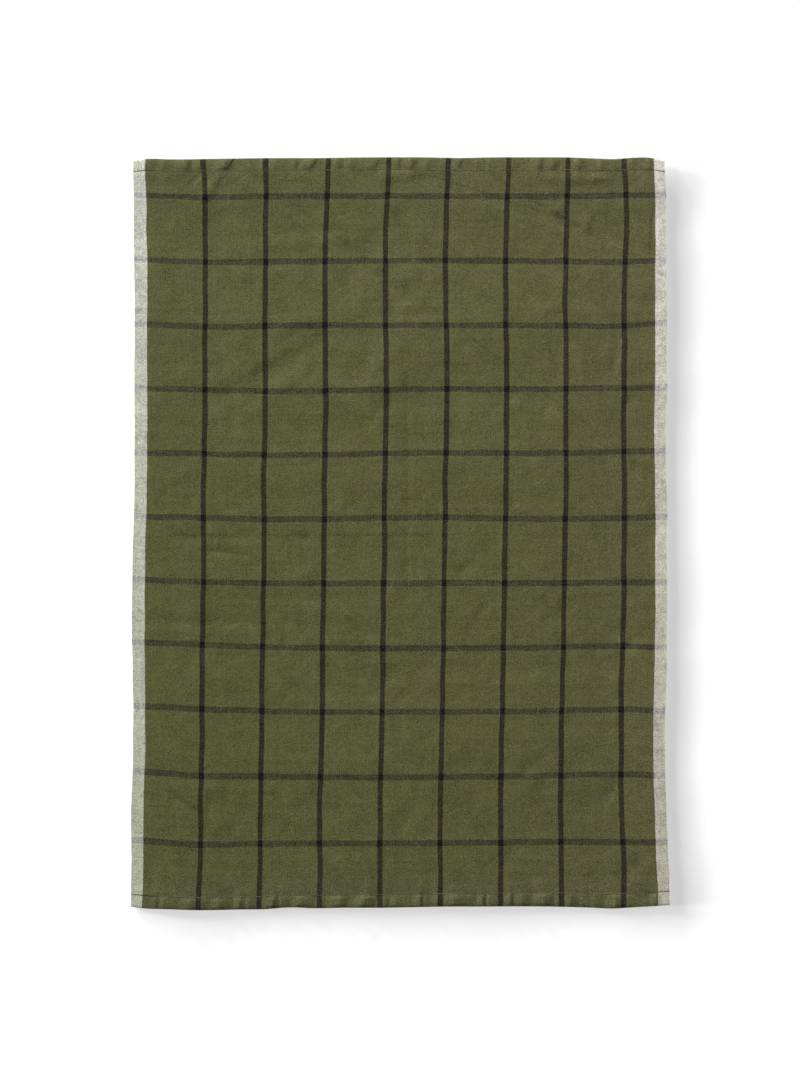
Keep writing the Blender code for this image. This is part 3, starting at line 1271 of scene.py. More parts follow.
@dataclass
class Hem:
    """A double-turned hem: the face, the tucked layer that ends in the raw edge, and the turned layer."""

    end: End
    depth_left: float
    depth_right: float
    thickness: float
    pitch: float
    puckers: Tuple[Pucker, ...]
    raw_inset: float = 0.0014
    stitch_from_fold: float = 0.0012
    tucked_rows: int = 3
    inner_fold_rows: int = 4
    turned_rows: int = 3
    outer_fold_rows: int = 4

    @property
    def fold_centre(self) -> float:
        """Return the outer fold's axis, as an inset from the towel's end."""
        return self.pitch + self.thickness / 2

    @property
    def turned_length(self) -> float:
        """Return the cut length from the raw edge to the outermost line of the fold."""
        return self.rows()[-1].cut

    def depth_at(self, across: Array, width: float) -> Array:
        """Return how deep the hem is at places across the towel."""
        return self.depth_left + (self.depth_right - self.depth_left) * across / width

    def rows(self) -> List[HemRow]:
        """List the grid's rows from the raw edge to the outermost line of the fold.

        Returns:
            The rows, in the order in which the cloth runs.
        """
        turned, tucked = self.thickness / 2, self.thickness / 2 + self.pitch
        depth = (self.depth_left + self.depth_right) / 2
        flat, back, radius = depth - self.raw_inset, depth - self.fold_centre, self.pitch / 2
        found = []
        for share in np.linspace(0.0, 1.0, self.tucked_rows + 1):
            found.append(HemRow(self.raw_inset * (1 - share), share, tucked, flat * share))
        cut = flat
        for angle in np.linspace(0.0, math.pi, self.inner_fold_rows + 1)[1:]:
            height = turned + radius * (1 + math.cos(angle))
            found.append(HemRow(radius * math.sin(angle), 1.0, height, cut + radius * angle))
        cut += radius * math.pi
        for share in np.linspace(0.0, 1.0, self.turned_rows + 1)[1:]:
            found.append(HemRow(self.fold_centre * share, 1 - share, turned, cut + back * share))
        cut += back
        for angle in np.linspace(0.0, math.pi / 2, self.outer_fold_rows + 1)[1:]:
            inset = self.fold_centre - self.pitch * math.sin(angle)
            height = tucked - self.pitch * math.cos(angle)
            found.append(HemRow(inset, 0.0, height, cut + self.pitch * angle))
        return found

    def is_fine(self, row: HemRow) -> bool:
        """Return whether a row is on the outer fold, where the grid has all its columns."""
        return row.share == 0.0 and row.fixed < self.fold_centre

    def pucker_at(self, across: Array, from_end: Array) -> Array:
        """Read the folds that the stitching draws up.

        Args:
            across: Places across the towel.
            from_end: How far in from its end they are.

        Returns:
            How high the face is drawn up there.
        """
        height = np.zeros_like(across)
        for pucker in self.puckers:
            past = across - pucker.across - pucker.lean * from_end
            share = np.minimum(fading(-past, pucker.rise), fading(past, pucker.fall))
            height = np.maximum(height, pucker.height * share)
        return height


@dataclass
class TowelCloth:
    """The towel's one cut of cloth, as a closed sheet with its folds, creases and hems."""

    name: str = "checked_cotton_cloth"
    check: Check = field(default_factory=Check)
    thickness: float = 0.0006
    layer_pitch: float = 0.0008

    # How finely the grid is cut
    columns: int = 416
    hem_face_rows: int = 25
    hem_reach: float = 0.024
    field_rows: int = 170
    fold_shares: Tuple[float, ...] = (0.25, 0.5, 0.75)  # rows on the upper half of an outer fold

    # How far the threads wander from their straight run
    weft_wander: Waves = Waves(seed=11, shortest=0.030, longest=0.110, height=0.00022)
    warp_wander: Waves = Waves(seed=7, shortest=0.035, longest=0.120, height=0.00022)
    edge_nibble: Waves = Waves(seed=8, shortest=0.004, longest=0.014, height=0.00007)
    wander_alike: float = 2.0  # how fast the wander changes from one thread to the next
    nibble_alike: float = 0.2
    free: Ease = Ease(0.0, 0.04)  # a crosswise thread lies straight at the ends

    # How the whole cloth lies off the surface
    clearance: float = 0.0002
    loft: float = 0.0014
    swell: Waves = Waves(seed=3, shortest=0.080, longest=0.300, height=0.00030)
    edge_waver: Waves = Waves(seed=5, shortest=0.12, longest=0.4, height=0.12)
    right_lift: float = 0.0024
    right_reach: float = 0.060
    lower_lift: float = 0.0005
    lower_reach: float = 0.050
    lift_power: float = 1.6
    corner: Ease = Ease(0.0, 0.050, start=0.45)  # the lower right corner lies lower
    left_side: Ease = Ease(0.0, 0.030, start=0.45)

    # The face's creases and its crumple
    crease_bend: float = 0.12
    crease_bend_turns: float = 5.0
    crease_bend_shift: float = 90.0
    crumple: Waves = Waves(seed=17, shortest=0.012, longest=0.045, height=0.00015, count=48)
    crumpled: Waves = Waves(seed=21, shortest=0.06, longest=0.2, height=1.0)
    crumpled_share: Ease = Ease(-0.6, 1.4)
    least_crumple: float = 0.35

    # The face over a hem
    fall: Ease = Ease(0.0003, 0.058)  # down to the surface, past the inner fold
    creased: Ease = Ease(-0.0040, 0.0060, start=0.25)  # a hem holds the creases flatter
    groove_width: float = 0.0009  # the furrow along the stitches
    groove_depth: float = 0.00010
    drawn: Ease = Ease(0.0, 0.0035, start=0.6)  # how far the puckers stand up, from the outer fold inwards
    held: Ease = Ease(-0.0044, 0.0008)  # how far the stitches hold them down, past the stitches
    trail: float = 0.22  # what is left of them there
    trail_end: Ease = Ease(0.0010, 0.0180)
    rounding: float = 0.00064  # how far the face turns down at the outer fold
    rounding_run: float = 0.0034
    sides: Ease = Ease(0.008, 0.014, start=0.15)  # less so beside the selvedges

    def __post_init__(self) -> None:
        """Work out the two hems."""
        shared = {"thickness": self.thickness, "pitch": self.layer_pitch}
        self.lower = Hem(End.LOWER, 0.0125, 0.0145, puckers=LOWER_PUCKERS, **shared)
        self.upper = Hem(End.UPPER, 0.0128, 0.0128, puckers=UPPER_PUCKERS, **shared)
        self.cut_length = self.lower.turned_length + self.check.face_length + self.upper.turned_length
        self.fold_arc = math.pi / 2 * self.layer_pitch

    # -- where the threads lie

    def end_line(self, end: End, across: Array) -> Array:
        """Return how far up the towel an end's outline is, at places across it."""
        rows = [row.lower if end is End.LOWER else row.upper for row in OUTLINE]
        return curve_through([row.across for row in OUTLINE], np.array(rows), across)

    def height_up(self, across: Array, along: Array) -> Array:
        """Place the face's threads up the towel.

        Args:
            across: Flat measures across the cloth.
            along: Flat measures up the face.

        Returns:
            Y at each spot.
        """
        inset, length, weft = self.thickness / 2, self.check.face_length, self.check.weft
        knots = [0.0, *(weft.at(row) for row in range(weft.count)), length]
        table = [self.end_line(End.LOWER, across) + inset]
        table += [curve_through(WEFT_PLACES, np.array(astuple(line)), across) for line in WEFT_LINES]
        table.append(self.end_line(End.UPPER, across) - inset)
        wander = self.weft_wander.at(across, along * self.wander_alike)
        free = self.free.at(along) * self.free.at(length - along)
        return curve_through(knots, np.array(table), along) + wander * free

    def place_across(self, across: Array, y: Array) -> Array:
        """Place the threads across the towel.

        Args:
            across: Flat measures across the cloth.
            y: How far up the towel each spot is.

        Returns:
            X at each spot.
        """
        warp = self.check.warp
        knots = [0.0, *(warp.at(column) for column in STATION_STRIPES), self.check.width]
        stations = np.array([astuple(row) for row in STATIONS])
        table = [curve_through(stations[:, 0], thread, y) for thread in stations[:, 1:].T]
        wander = self.warp_wander.at(across * self.wander_alike, y)
        nibble = self.edge_nibble.at(across * self.nibble_alike, y)
        return curve_through(knots, np.array(table), across) + wander + nibble

    # -- how high the cloth lies

    def bed(self, x: Array, y: Array) -> Array:
        """Read how the whole cloth lies, hems and all.

        Args:
            x: Places across the towel.
            y: Places along it.

        Returns:
            How far it stands off the surface there.
        """
        from_left, from_right = x + self.check.width / 2, self.check.width / 2 - x
        from_lower = y + self.check.face_length / 2
        swell = np.clip(self.swell.at(x, y), -self.loft * 0.5, None)
        right = fading(from_right, self.right_reach, self.lift_power) * self.corner.at(from_lower)
        lower = fading(from_lower, self.lower_reach, self.lift_power)
        waver = 1 + self.edge_waver.at(x, y)
        lifted = self.loft * 0.5 + swell + (self.right_lift * right + self.lower_lift * lower) * waver
        return self.clearance + lifted * self.left_side.at(from_left)

    def creases(self, x: Array, y: Array) -> Array:
        """Read the creases and the crumple.

        Args:
            x: Places across the towel.
            y: Places along it.

        Returns:
            How far they raise or lower the face there.
        """
        height = np.zeros_like(x)
        for crease in CREASES:
            turn = math.radians(crease.heading)
            along = (x - crease.x) * math.cos(turn) + (y - crease.y) * math.sin(turn)
            aside = (y - crease.y) * math.cos(turn) - (x - crease.x) * math.sin(turn)
            phase = along / crease.length * self.crease_bend_turns + crease.x * self.crease_bend_shift
            bend = self.crease_bend * crease.width * np.sin(phase)
            share_along = np.clip(np.abs(along) / crease.length * 2, 0, 1)
            share_aside = np.clip(np.abs(aside + bend) / crease.width * 2, 0, 1)
            lengthwise = 0.5 + 0.5 * np.cos(math.pi * share_along**2)
            height += crease.height * lengthwise * (0.5 + 0.5 * np.cos(math.pi * share_aside))
        patches = self.crumpled_share.at(self.crumpled.at(x, y))
        return height + self.crumple.at(x, y) * (self.least_crumple + patches)

    def face(self, across: Array, along: Array) -> Places:
        """Place spots of the face's middle surface.

        Args:
            across: Flat measures across the cloth.
            along: Flat measures up the face.

        Returns:
            X, Y and Z at each spot.
        """
        y = self.height_up(across, along)
        x = self.place_across(across, y)
        bed, creases = self.bed(x, y), self.creases(x, y)
        middle = self.thickness / 2
        z = np.maximum(middle + bed + creases, middle + self.clearance * 0.5)
        from_side = np.minimum(across, self.check.width - across)
        for hem, from_end in ((self.lower, along), (self.upper, self.check.face_length - along)):
            past_fold = from_end - hem.depth_at(across, self.check.width)
            past_stitch = past_fold + hem.stitch_from_fold
            top = middle + 2 * self.layer_pitch + bed + creases * self.creased.at(past_fold)
            trail = self.trail * (1 - self.trail_end.at(past_stitch))
            drawn = self.drawn.at(from_end)
            drawn = drawn + (trail - drawn) * self.held.at(past_stitch)
            groove = np.exp(-((past_stitch / self.groove_width) ** 2)) * self.groove_depth
            rounding = fading(from_end, self.rounding_run, 2) * self.rounding * self.sides.at(from_side)
            raised = top + hem.pucker_at(across, from_end) * drawn - groove - rounding
            z = z + (raised - z) * (1 - self.fall.at(past_fold))
        return x, y, z

    def inside_hem(self, hem: Hem, row: HemRow, across: Array) -> Places:
        """Place one row of the cloth inside a hem.

        Args:
            hem: The hem.
            row: The row.
            across: Flat measures across the cloth.

        Returns:
            X, Y and Z of the middle surface at each spot.
        """
        inset = row.fixed + row.share * hem.depth_at(across, self.check.width)
        y = self.end_line(hem.end, across) - hem.end.value * inset
        x = self.place_across(across, y)
        return x, y, row.height + self.bed(x, y)

    # -- the mesh

    def face_steps(self) -> Array:
        """Return the face's rows as flat measures up it, both folds' own arcs left out."""
        near = np.linspace(self.fold_arc, self.hem_reach, self.hem_face_rows + 1)
        inner = np.linspace(self.hem_reach, self.check.face_length - self.hem_reach, self.field_rows + 1)
        return np.concatenate([near, inner[1:-1], self.check.face_length - near[::-1]])

    def grid(self) -> "ClothGrid":
        """Place the whole middle surface, from one raw edge to the other.

        Returns:
            The grid.
        """
        across = np.linspace(0.0, self.check.width, self.columns + 1)
        lower, upper = self.lower, self.upper
        start, length = lower.turned_length, self.check.face_length
        rows = [(self.inside_hem(lower, row, across), row.cut, lower.is_fine(row)) for row in lower.rows()]
        for share in self.fold_shares:
            rows.append((self._upper_arc(lower, share, across), start + self.fold_arc * share, True))
        reach = self.hem_reach + SLACK
        for along in self.face_steps():
            near = along < reach or along > length - reach
            rows.append((self.face(across, np.full_like(across, along)), start + along, near))
        for share in reversed(self.fold_shares):
            cut = start + length - self.fold_arc * share
            rows.append((self._upper_arc(upper, share, across), cut, True))
        for row in reversed(upper.rows()):
            rows.append((self.inside_hem(upper, row, across), self.cut_length - row.cut, upper.is_fine(row)))
        places, cuts, fine = zip(*rows)
        points = np.stack([np.stack(place, axis=-1) for place in places])
        return ClothGrid(points, across, np.array(cuts), fine)

    def _upper_arc(self, hem: Hem, share: float, across: Array) -> Places:
        """Place a row of an outer fold between its outermost line and the face.

        Args:
            hem: The hem.
            share: The row's share of the way.
            across: Flat measures across the cloth.

        Returns:
            X, Y and Z at each spot.
        """
        angle = math.pi / 2 * share
        outermost = self.inside_hem(hem, hem.rows()[-1], across)
        along = self.fold_arc if hem.end is End.LOWER else self.check.face_length - self.fold_arc
        face = self.face(across, np.full_like(across, along))
        shares = (1 - math.cos(angle), 1 - math.cos(angle), math.sin(angle))
        x, y, z = (low + (high - low) * part for low, high, part in zip(outermost, face, shares))
        return x, y, z

    def build(self, material: bpy.types.Material) -> bpy.types.Object:
        """Model the cloth.

        Args:
            material: Its finish.

        Returns:
            The cloth as a closed mesh.
        """
        return self.grid().sheet(self.name, self.thickness, material)


@dataclass(frozen=True)
class BakeLayout:
    """Where the cloth's parts go on the unit square of its second UV map, which a finish can be baked to."""

    margin: float = 0.005
    length: float = 0.990
    face_width: float = 0.600
    back_width: float = 0.350
    back_at: float = 0.615
    left_side_at: float = 0.972
    right_side_at: float = 0.980
    ends_at: float = 0.989
    strip: float = 0.005
    end_length: float = 0.48
    upper_end_at: float = 0.510

    def face(self, share: Array) -> Array:
        """Place the face, by shares of the cloth's width and length."""
        return share * (self.face_width, self.length) + self.margin

    def back(self, share: Array) -> Array:
        """Place the back beside the face, turned round."""
        return (1 - share) * (self.back_width, self.length) + (self.back_at, self.margin)

    def edge(self, at: float, share: Array, is_back: Array, length: float, start: float) -> Array:
        """Place a narrow strip: its face side at "at", its back side beside it."""
        return np.hstack([at + is_back * self.strip, share * length + start])


@dataclass
class ClothGrid:
    """The cloth's middle surface as rows of points. Rows that need less detail use every second point."""

    points: Array  # by row and column
    across: Array  # by column
    cuts: Array  # by row: how far the row is along the cut
    fine: Tuple[bool, ...]  # by row
    sharp_from: float = math.radians(50)

    def sheet(self, name: str, thickness: float, material: bpy.types.Material) -> bpy.types.Object:
        """Give the surface its thickness.

        Args:
            name: The piece's name.
            thickness: The sheet's thickness.
            material: Its finish.

        Returns:
            A closed mesh. Its back has a quarter of the face's detail.
        """
        normal = np.cross(np.gradient(self.points, axis=1), np.gradient(self.points, axis=0))
        normal *= thickness / 2 / np.linalg.norm(normal, axis=-1, keepdims=True)
        every, second = slice(None), slice(None, None, 2)
        face_picks = [(row, every if fine else second) for row, fine in enumerate(self.fine)]
        back_picks = [(row, second) for row in range(0, len(self.cuts), 2)]
        face_rows, face_places, face_flats = self._rows(self.points + normal, face_picks, 0)
        first_back = len(face_places)
        back_rows, back_places, back_flats = self._rows(self.points - normal, back_picks, first_back)
        places, flat = np.concatenate([face_places, back_places]), np.concatenate([face_flats, back_flats])

        upper = [self._strip(low, high) for low, high in zip(face_rows, face_rows[1:])]
        lower = [self._strip(low, high)[:, ::-1] for low, high in zip(back_rows, back_rows[1:])]
        left, right = self._side(face_rows, back_rows, 0), self._side(face_rows, back_rows, -1)[:, ::-1]
        first = self._end(face_rows[0], back_rows[0])[:, ::-1]
        last = self._end(face_rows[-1], back_rows[-1])

        layout = BakeLayout()
        share = flat / (self.across[-1], self.cuts[-1])
        is_back = (np.arange(len(flat)) >= first_back)[:, None].astype(float)
        over, up = share[:, :1], share[:, 1:]
        spread = [(group, layout.face(share)) for group in upper]
        spread += [(group, layout.back(share)) for group in lower]
        for group, at in ((left, layout.left_side_at), (right, layout.right_side_at)):
            spread.append((group, layout.edge(at, up, is_back, layout.length, layout.margin)))
        for group, start in ((first, layout.margin), (last, layout.upper_end_at)):
            spread.append((group, layout.edge(layout.ends_at, over, is_back, layout.end_length, start)))
        baked = np.concatenate([places_of[group.ravel()] for group, places_of in spread])
        return self._object(name, places, [group for group, _ in spread], flat, baked, material)

    def _object(
        self, name: str, places: Array, groups: Sequence[Array], flat: Array, baked: Array,
        material: bpy.types.Material,
    ) -> bpy.types.Object:
        """Write the closed mesh.

        Args:
            name: The piece's name.
            places: Each vertex's place.
            groups: The faces, as arrays of vertex numbers with as many columns as the faces have corners.
            flat: Each vertex's flat measures, for the "cloth" UV map.
            baked: Each corner's place in the second UV map.
            material: The finish.

        Returns:
            The object.
        """
        corners = np.concatenate([group.ravel() for group in groups])
        sizes = np.concatenate([np.full(len(group), group.shape[1]) for group in groups])
        mesh = bpy.data.meshes.new(name)
        mesh.vertices.add(len(places))
        mesh.vertices.foreach_set("co", places.astype(np.float32).ravel())
        mesh.loops.add(len(corners))
        mesh.loops.foreach_set("vertex_index", corners.astype(np.int32))
        mesh.polygons.add(len(sizes))
        starts = np.concatenate([[0], np.cumsum(sizes)[:-1]])
        mesh.polygons.foreach_set("loop_start", starts.astype(np.int32))
        mesh.update(calc_edges=True)
        for label, values in (("cloth", flat[corners]), ("OFBake", baked)):
            layer = mesh.uv_layers.new(name=label)
            layer.uv.foreach_set("vector", values.astype(np.float32).ravel())
        mesh.shade_smooth()
        mesh.set_sharp_from_angle(angle=self.sharp_from)
        mesh.materials.append(material)
        return add_to_scene(name, mesh)

    def _rows(
        self, surface: Array, picks: Sequence[Tuple[int, slice]], count: int
    ) -> Tuple[List[Array], Array, Array]:
        """Pick a surface's vertices.

        Args:
            surface: Its points.
            picks: Which of its rows to take, and which columns of each.
            count: How many vertices there are before these.

        Returns:
            The vertex numbers by row, then the vertices' places, then their flat measures.
        """
        rows, places, flats = [], [], []
        for row, picked in picks:
            chosen = surface[row, picked]
            rows.append(np.arange(count, count + len(chosen)))
            places.append(chosen)
            flats.append(np.stack([self.across[picked], np.full(len(chosen), self.cuts[row])], axis=-1))
            count += len(chosen)
        return rows, np.concatenate(places), np.concatenate(flats)

    @staticmethod
    def _strip(low: Array, high: Array) -> Array:
        """Join two rows of vertices with faces that are seen from above."""
        if len(low) == len(high):
            return np.stack([low[:-1], low[1:], high[1:], high[:-1]], axis=-1)
        if len(low) < len(high):
            return np.stack([low[:-1], low[1:], high[2::2], high[1::2], high[:-2:2]], axis=-1)
        return np.stack([low[:-2:2], low[1::2], low[2::2], high[1:], high[:-1]], axis=-1)

    @staticmethod
    def _side(face_rows: List[Array], back_rows: List[Array], column: int) -> Array:
        """Join the face to the back along one column, with faces that are seen from the left."""
        face = np.array([row[column] for row in face_rows])
        back = np.array([row[column] for row in back_rows])
        return np.stack([face[:-2:2], face[1::2], face[2::2], back[1:], back[:-1]], axis=-1)

    @staticmethod
    def _end(face: Array, back: Array) -> Array:
        """Join the face to the back along a row, with faces that are seen from the row's far side."""
        return np.stack([face[:-1], face[1:], back[1:], back[:-1]], axis=-1)


def add_to_scene(name: str, data: Any) -> bpy.types.Object:
    """Return a new object that shows a mesh, a lamp or a camera."""
    item = bpy.data.objects.new(name, data)
    bpy.context.scene.collection.objects.link(item)
    return item


# ---------------- what Geometry Nodes repeat


class GeometrySheet(NodeSheet):
    """A Geometry Nodes tree with named inputs."""

    KINDS = {float: "NodeSocketFloat", int: "NodeSocketInt", tuple: "NodeSocketVector"}

    def __init__(self, name: str, inputs: Mapping[str, Any]) -> None:
        """Start a tree.

        Args:
            name: The tree's name.
            inputs: Its inputs after the geometry: each one's name and value.
        """
        super().__init__(bpy.data.node_groups.new(name, "GeometryNodeTree"))
        face = self.tree.interface
        for way in ("INPUT", "OUTPUT"):
            face.new_socket("Geometry", in_out=way, socket_type="NodeSocketGeometry")
        self.inputs = dict(inputs)
        self.identifiers: Dict[str, str] = {}
        for label, value in inputs.items():
            kind = self.KINDS.get(type(value), "NodeSocketMaterial")
            self.identifiers[label] = face.new_socket(label, in_out="INPUT", socket_type=kind).identifier
        self.group_input = self.tree.nodes.new("NodeGroupInput")

    def get(self, label: str) -> Wire:
        """Return one of the tree's inputs."""
        return Wire(self, self.group_input.outputs[label])

    def out(self, kind: str, settings: Optional[Mapping[str, Any]] = None, **sockets: Any) -> Wire:
        """Add a node whose inputs are named without spaces and return its first output."""
        named = {name.replace("_", " "): value for name, value in sockets.items()}
        node = self.add(kind, settings, named)
        return Wire(self, next(socket for socket in node.outputs if socket.enabled))

    def vector(self, x: Value, y: Value, z: Value) -> Wire:
        """Return a vector made of three numbers."""
        return self.out("ShaderNodeCombineXYZ", X=x, Y=y, Z=z)

    def random(self, low: Vector3, high: Vector3, seed_step: int) -> Wire:
        """Return a random vector for each point, from the tree's Seed."""
        seed = self.get("Seed") + float(seed_step)
        kind = {"data_type": "FLOAT_VECTOR"}
        return self.out("FunctionNodeRandomValue", kind, Min=low, Max=high, Seed=seed)

    def swept(self, start: Any, middle: Any, end: Any, steps: int) -> Wire:
        """Sweep a round yarn of the tree's Radius along a bent line.

        Args:
            start: The line's first point.
            middle: The point that it bends towards.
            end: Its last point.
            steps: How many pieces the line is cut into.

        Returns:
            The yarn's mesh.
        """
        bent = "GeometryNodeCurveQuadraticBezier"
        line = self.out(bent, Resolution=steps, Start=start, Middle=middle, End=end)
        ring = {"Resolution": YARN_SIDES, "Radius": self.get("Radius")}
        profile = self.out("GeometryNodeCurvePrimitiveCircle", {"mode": "RADIUS"}, **ring)
        return self.out("GeometryNodeCurveToMesh", Curve=line, Profile_Curve=profile, Fill_Caps=True)

    def scatter(self, points: Any, shape: Wire, smallest: Vector3, largest: Vector3, **turned: Any) -> Wire:
        """Set a shape on points.

        Args:
            points: The points.
            shape: The shape.
            smallest: The least of its random scale.
            largest: The most of it.
            turned: How each copy is turned, as "Rotation", where it is.

        Returns:
            The copies.
        """
        scale = self.random(smallest, largest, 1)
        return self.out("GeometryNodeInstanceOnPoints", Points=points, Instance=shape, Scale=scale, **turned)

    def along_line(self, shape: Wire, axis: str, towards: Any, smallest: Vector3, largest: Vector3) -> Wire:
        """Set a shape every Pitch along the guide's lines, its X following the line.

        Args:
            shape: The shape.
            axis: Which of its other axes is turned towards a fixed direction.
            towards: That direction.
            smallest: The least of its random scale.
            largest: The most of it.

        Returns:
            The copies.
        """
        line = self.out("GeometryNodeMeshToCurve", Mesh=self.get("Geometry"))
        spacing = {"Curve": line, "Length": self.get("Pitch")}
        points = self.add("GeometryNodeCurveToPoints", {"mode": "LENGTH"}, spacing)
        axes = {"primary_axis": "X", "secondary_axis": axis}
        tangent = points.outputs["Tangent"]
        turn = self.out("FunctionNodeAxesToRotation", axes, Primary_Axis=tangent, Secondary_Axis=towards)
        return self.scatter(points.outputs["Points"], shape, smallest, largest, Rotation=turn)

    def skewed(self, instances: Wire, least: float, most: float) -> Wire:
        """Turn each copy about its own Z by a random angle in radians."""
        turn = self.random((0.0, 0.0, least), (0.0, 0.0, most), 2)
        return self.out("GeometryNodeRotateInstances", Instances=instances, Rotation=turn)

    def close(self, instances: Wire) -> None:
        """End the tree: real geometry, shaded smooth, with its material."""
        real = self.out("GeometryNodeRealizeInstances", Geometry=instances)
        smooth = self.out("GeometryNodeSetShadeSmooth", Geometry=real)
        dressed = self.out("GeometryNodeSetMaterial", Geometry=smooth, Material=self.get("Material"))
        self.feed(self.tree.nodes.new("NodeGroupOutput").inputs["Geometry"], dressed)

    def grow(self, name: str, guide: bpy.types.Mesh) -> bpy.types.Object:
        """Run the tree on a guide.

        Args:
            name: The finished piece's name.
            guide: The mesh that the tree reads.

        Returns:
            The piece, as a plain mesh with no modifier.
        """
        item = add_to_scene(name, guide)
        modifier = item.modifiers.new("Grow", "NODES")
        modifier.node_group = self.tree
        for label, value in self.inputs.items():
            modifier[self.identifiers[label]] = value
        bpy.context.view_layer.update()
        graph = bpy.context.evaluated_depsgraph_get()
        made = bpy.data.meshes.new_from_object(item.evaluated_get(graph))
        item.modifiers.clear()
        item.data = made
        made.name = name
        bpy.data.meshes.remove(guide)
        return item


def guide_mesh(name: str, lines: Sequence[Array], picks: Sequence[Array] = ()) -> bpy.types.Mesh:
    """Make a mesh of open lines.

    Args:
        name: The mesh's name.
        lines: Each line's points.
        picks: Each line's flat measure at its points, stored as the attribute "pick".

    Returns:
        The mesh.
    """
    edges, start = [], 0
    for line in lines:
        edges += [(start + step, start + step + 1) for step in range(len(line) - 1)]
        start += len(line)
    mesh = bpy.data.meshes.new(name)
    mesh.from_pydata(np.concatenate(lines).tolist(), edges, [])
    if picks:
        attribute = mesh.attributes.new("pick", "FLOAT", "POINT")
        attribute.data.foreach_set("value", np.concatenate(picks).astype(np.float32))
    return mesh


def joined(name: str, pieces: List[bpy.types.Object]) -> bpy.types.Object:
    """Make some objects into one.

    Args:
        name: Its name.
        pieces: The objects.

    Returns:
        The one object.
    """
    whole = pieces[0]
    with bpy.context.temp_override(
        active_object=whole, selected_objects=pieces, selected_editable_objects=pieces
    ):
        bpy.ops.object.join()
    whole.name = name
    whole.data.name = name
    return whole


@dataclass
class HemStitching:
    """The machine stitching that holds both hems, seen on the face and on the back."""

    cloth: TowelCloth
    name: str = "hem_stitching"
    pitch: float = 0.0030
    length: float = 0.0026
    thread: float = 0.00054
    crown: float = 0.00022
    sink: float = 0.00018
    back_crown_share: float = -0.35  # the back's stitches bow down, and less
    from_selvedge: float = 0.0012
    line_points: int = 500
    bends: int = 6
    smallest: Vector3 = (0.90, 0.90, 0.80)
    largest: Vector3 = (1.06, 1.10, 1.15)
    skew: float = 0.10
    seed: int = 4
    wander_seed: int = 31

    def lines(self, hem: Hem) -> Tuple[Array, Array]:
        """Place the two lines that a hem's stitches follow.

        Args:
            hem: The hem.

        Returns:
            The points on the face and those on the back.
        """
        cloth, check = self.cloth, self.cloth.check
        across = np.linspace(self.from_selvedge, check.width - self.from_selvedge, self.line_points)
        wander = Waves(seed=self.wander_seed + hem.end.value, shortest=0.05, longest=0.2, height=0.00012)
        stitch = hem.depth_at(across, check.width) - hem.stitch_from_fold + wander.at(across, across)
        x, y, z = cloth.face(across, stitch if hem.end is End.LOWER else check.face_length - stitch)
        back_y = cloth.end_line(hem.end, across) - hem.end.value * stitch
        face = np.stack([x, y, z + cloth.thickness / 2], axis=-1)
        return face, np.stack([x, back_y, cloth.bed(x, back_y)], axis=-1)

    def build(self, material: bpy.types.Material) -> bpy.types.Object:
        """Sew the hems.

        Args:
            material: The thread's finish.

        Returns:
            All the stitches, as one mesh.
        """
        face, back = zip(*(self.lines(hem) for hem in (self.cloth.lower, self.cloth.upper)))
        inputs = {
            "Pitch": self.pitch,
            "Length": self.length,
            "Radius": self.thread / 2,
            "Crown": self.crown,
            "Sink": self.sink,
            "Seed": self.seed,
            "Material": material,
        }
        below = {**inputs, "Crown": self.crown * self.back_crown_share, "Sink": -self.sink}
        pieces = [
            self._tree("face_stitches", inputs).grow(self.name, guide_mesh("stitch_lines", face)),
            self._tree("back_stitches", below).grow(self.name + "_back", guide_mesh("back_lines", back)),
        ]
        return joined(self.name, pieces)

    def _tree(self, name: str, inputs: Mapping[str, Any]) -> GeometrySheet:
        """Build the tree that lays stitches along a line.

        Args:
            name: Its name.
            inputs: Its inputs and their values.

        Returns:
            The tree.
        """
        sheet = GeometrySheet(name, inputs)
        half = sheet.get("Length") / 2
        low = 0.0 - sheet.get("Sink")
        top = sheet.get("Crown") * 2 + sheet.get("Sink")
        start, end = sheet.vector(0.0 - half, 0.0, low), sheet.vector(half, 0.0, low)
        stitch = sheet.swept(start, sheet.vector(0.0, 0.0, top), end, self.bends)
        laid = sheet.along_line(stitch, "Z", (0.0, 0.0, 1.0), self.smallest, self.largest)
        sheet.close(sheet.skewed(laid, -self.skew, self.skew))
        return sheet


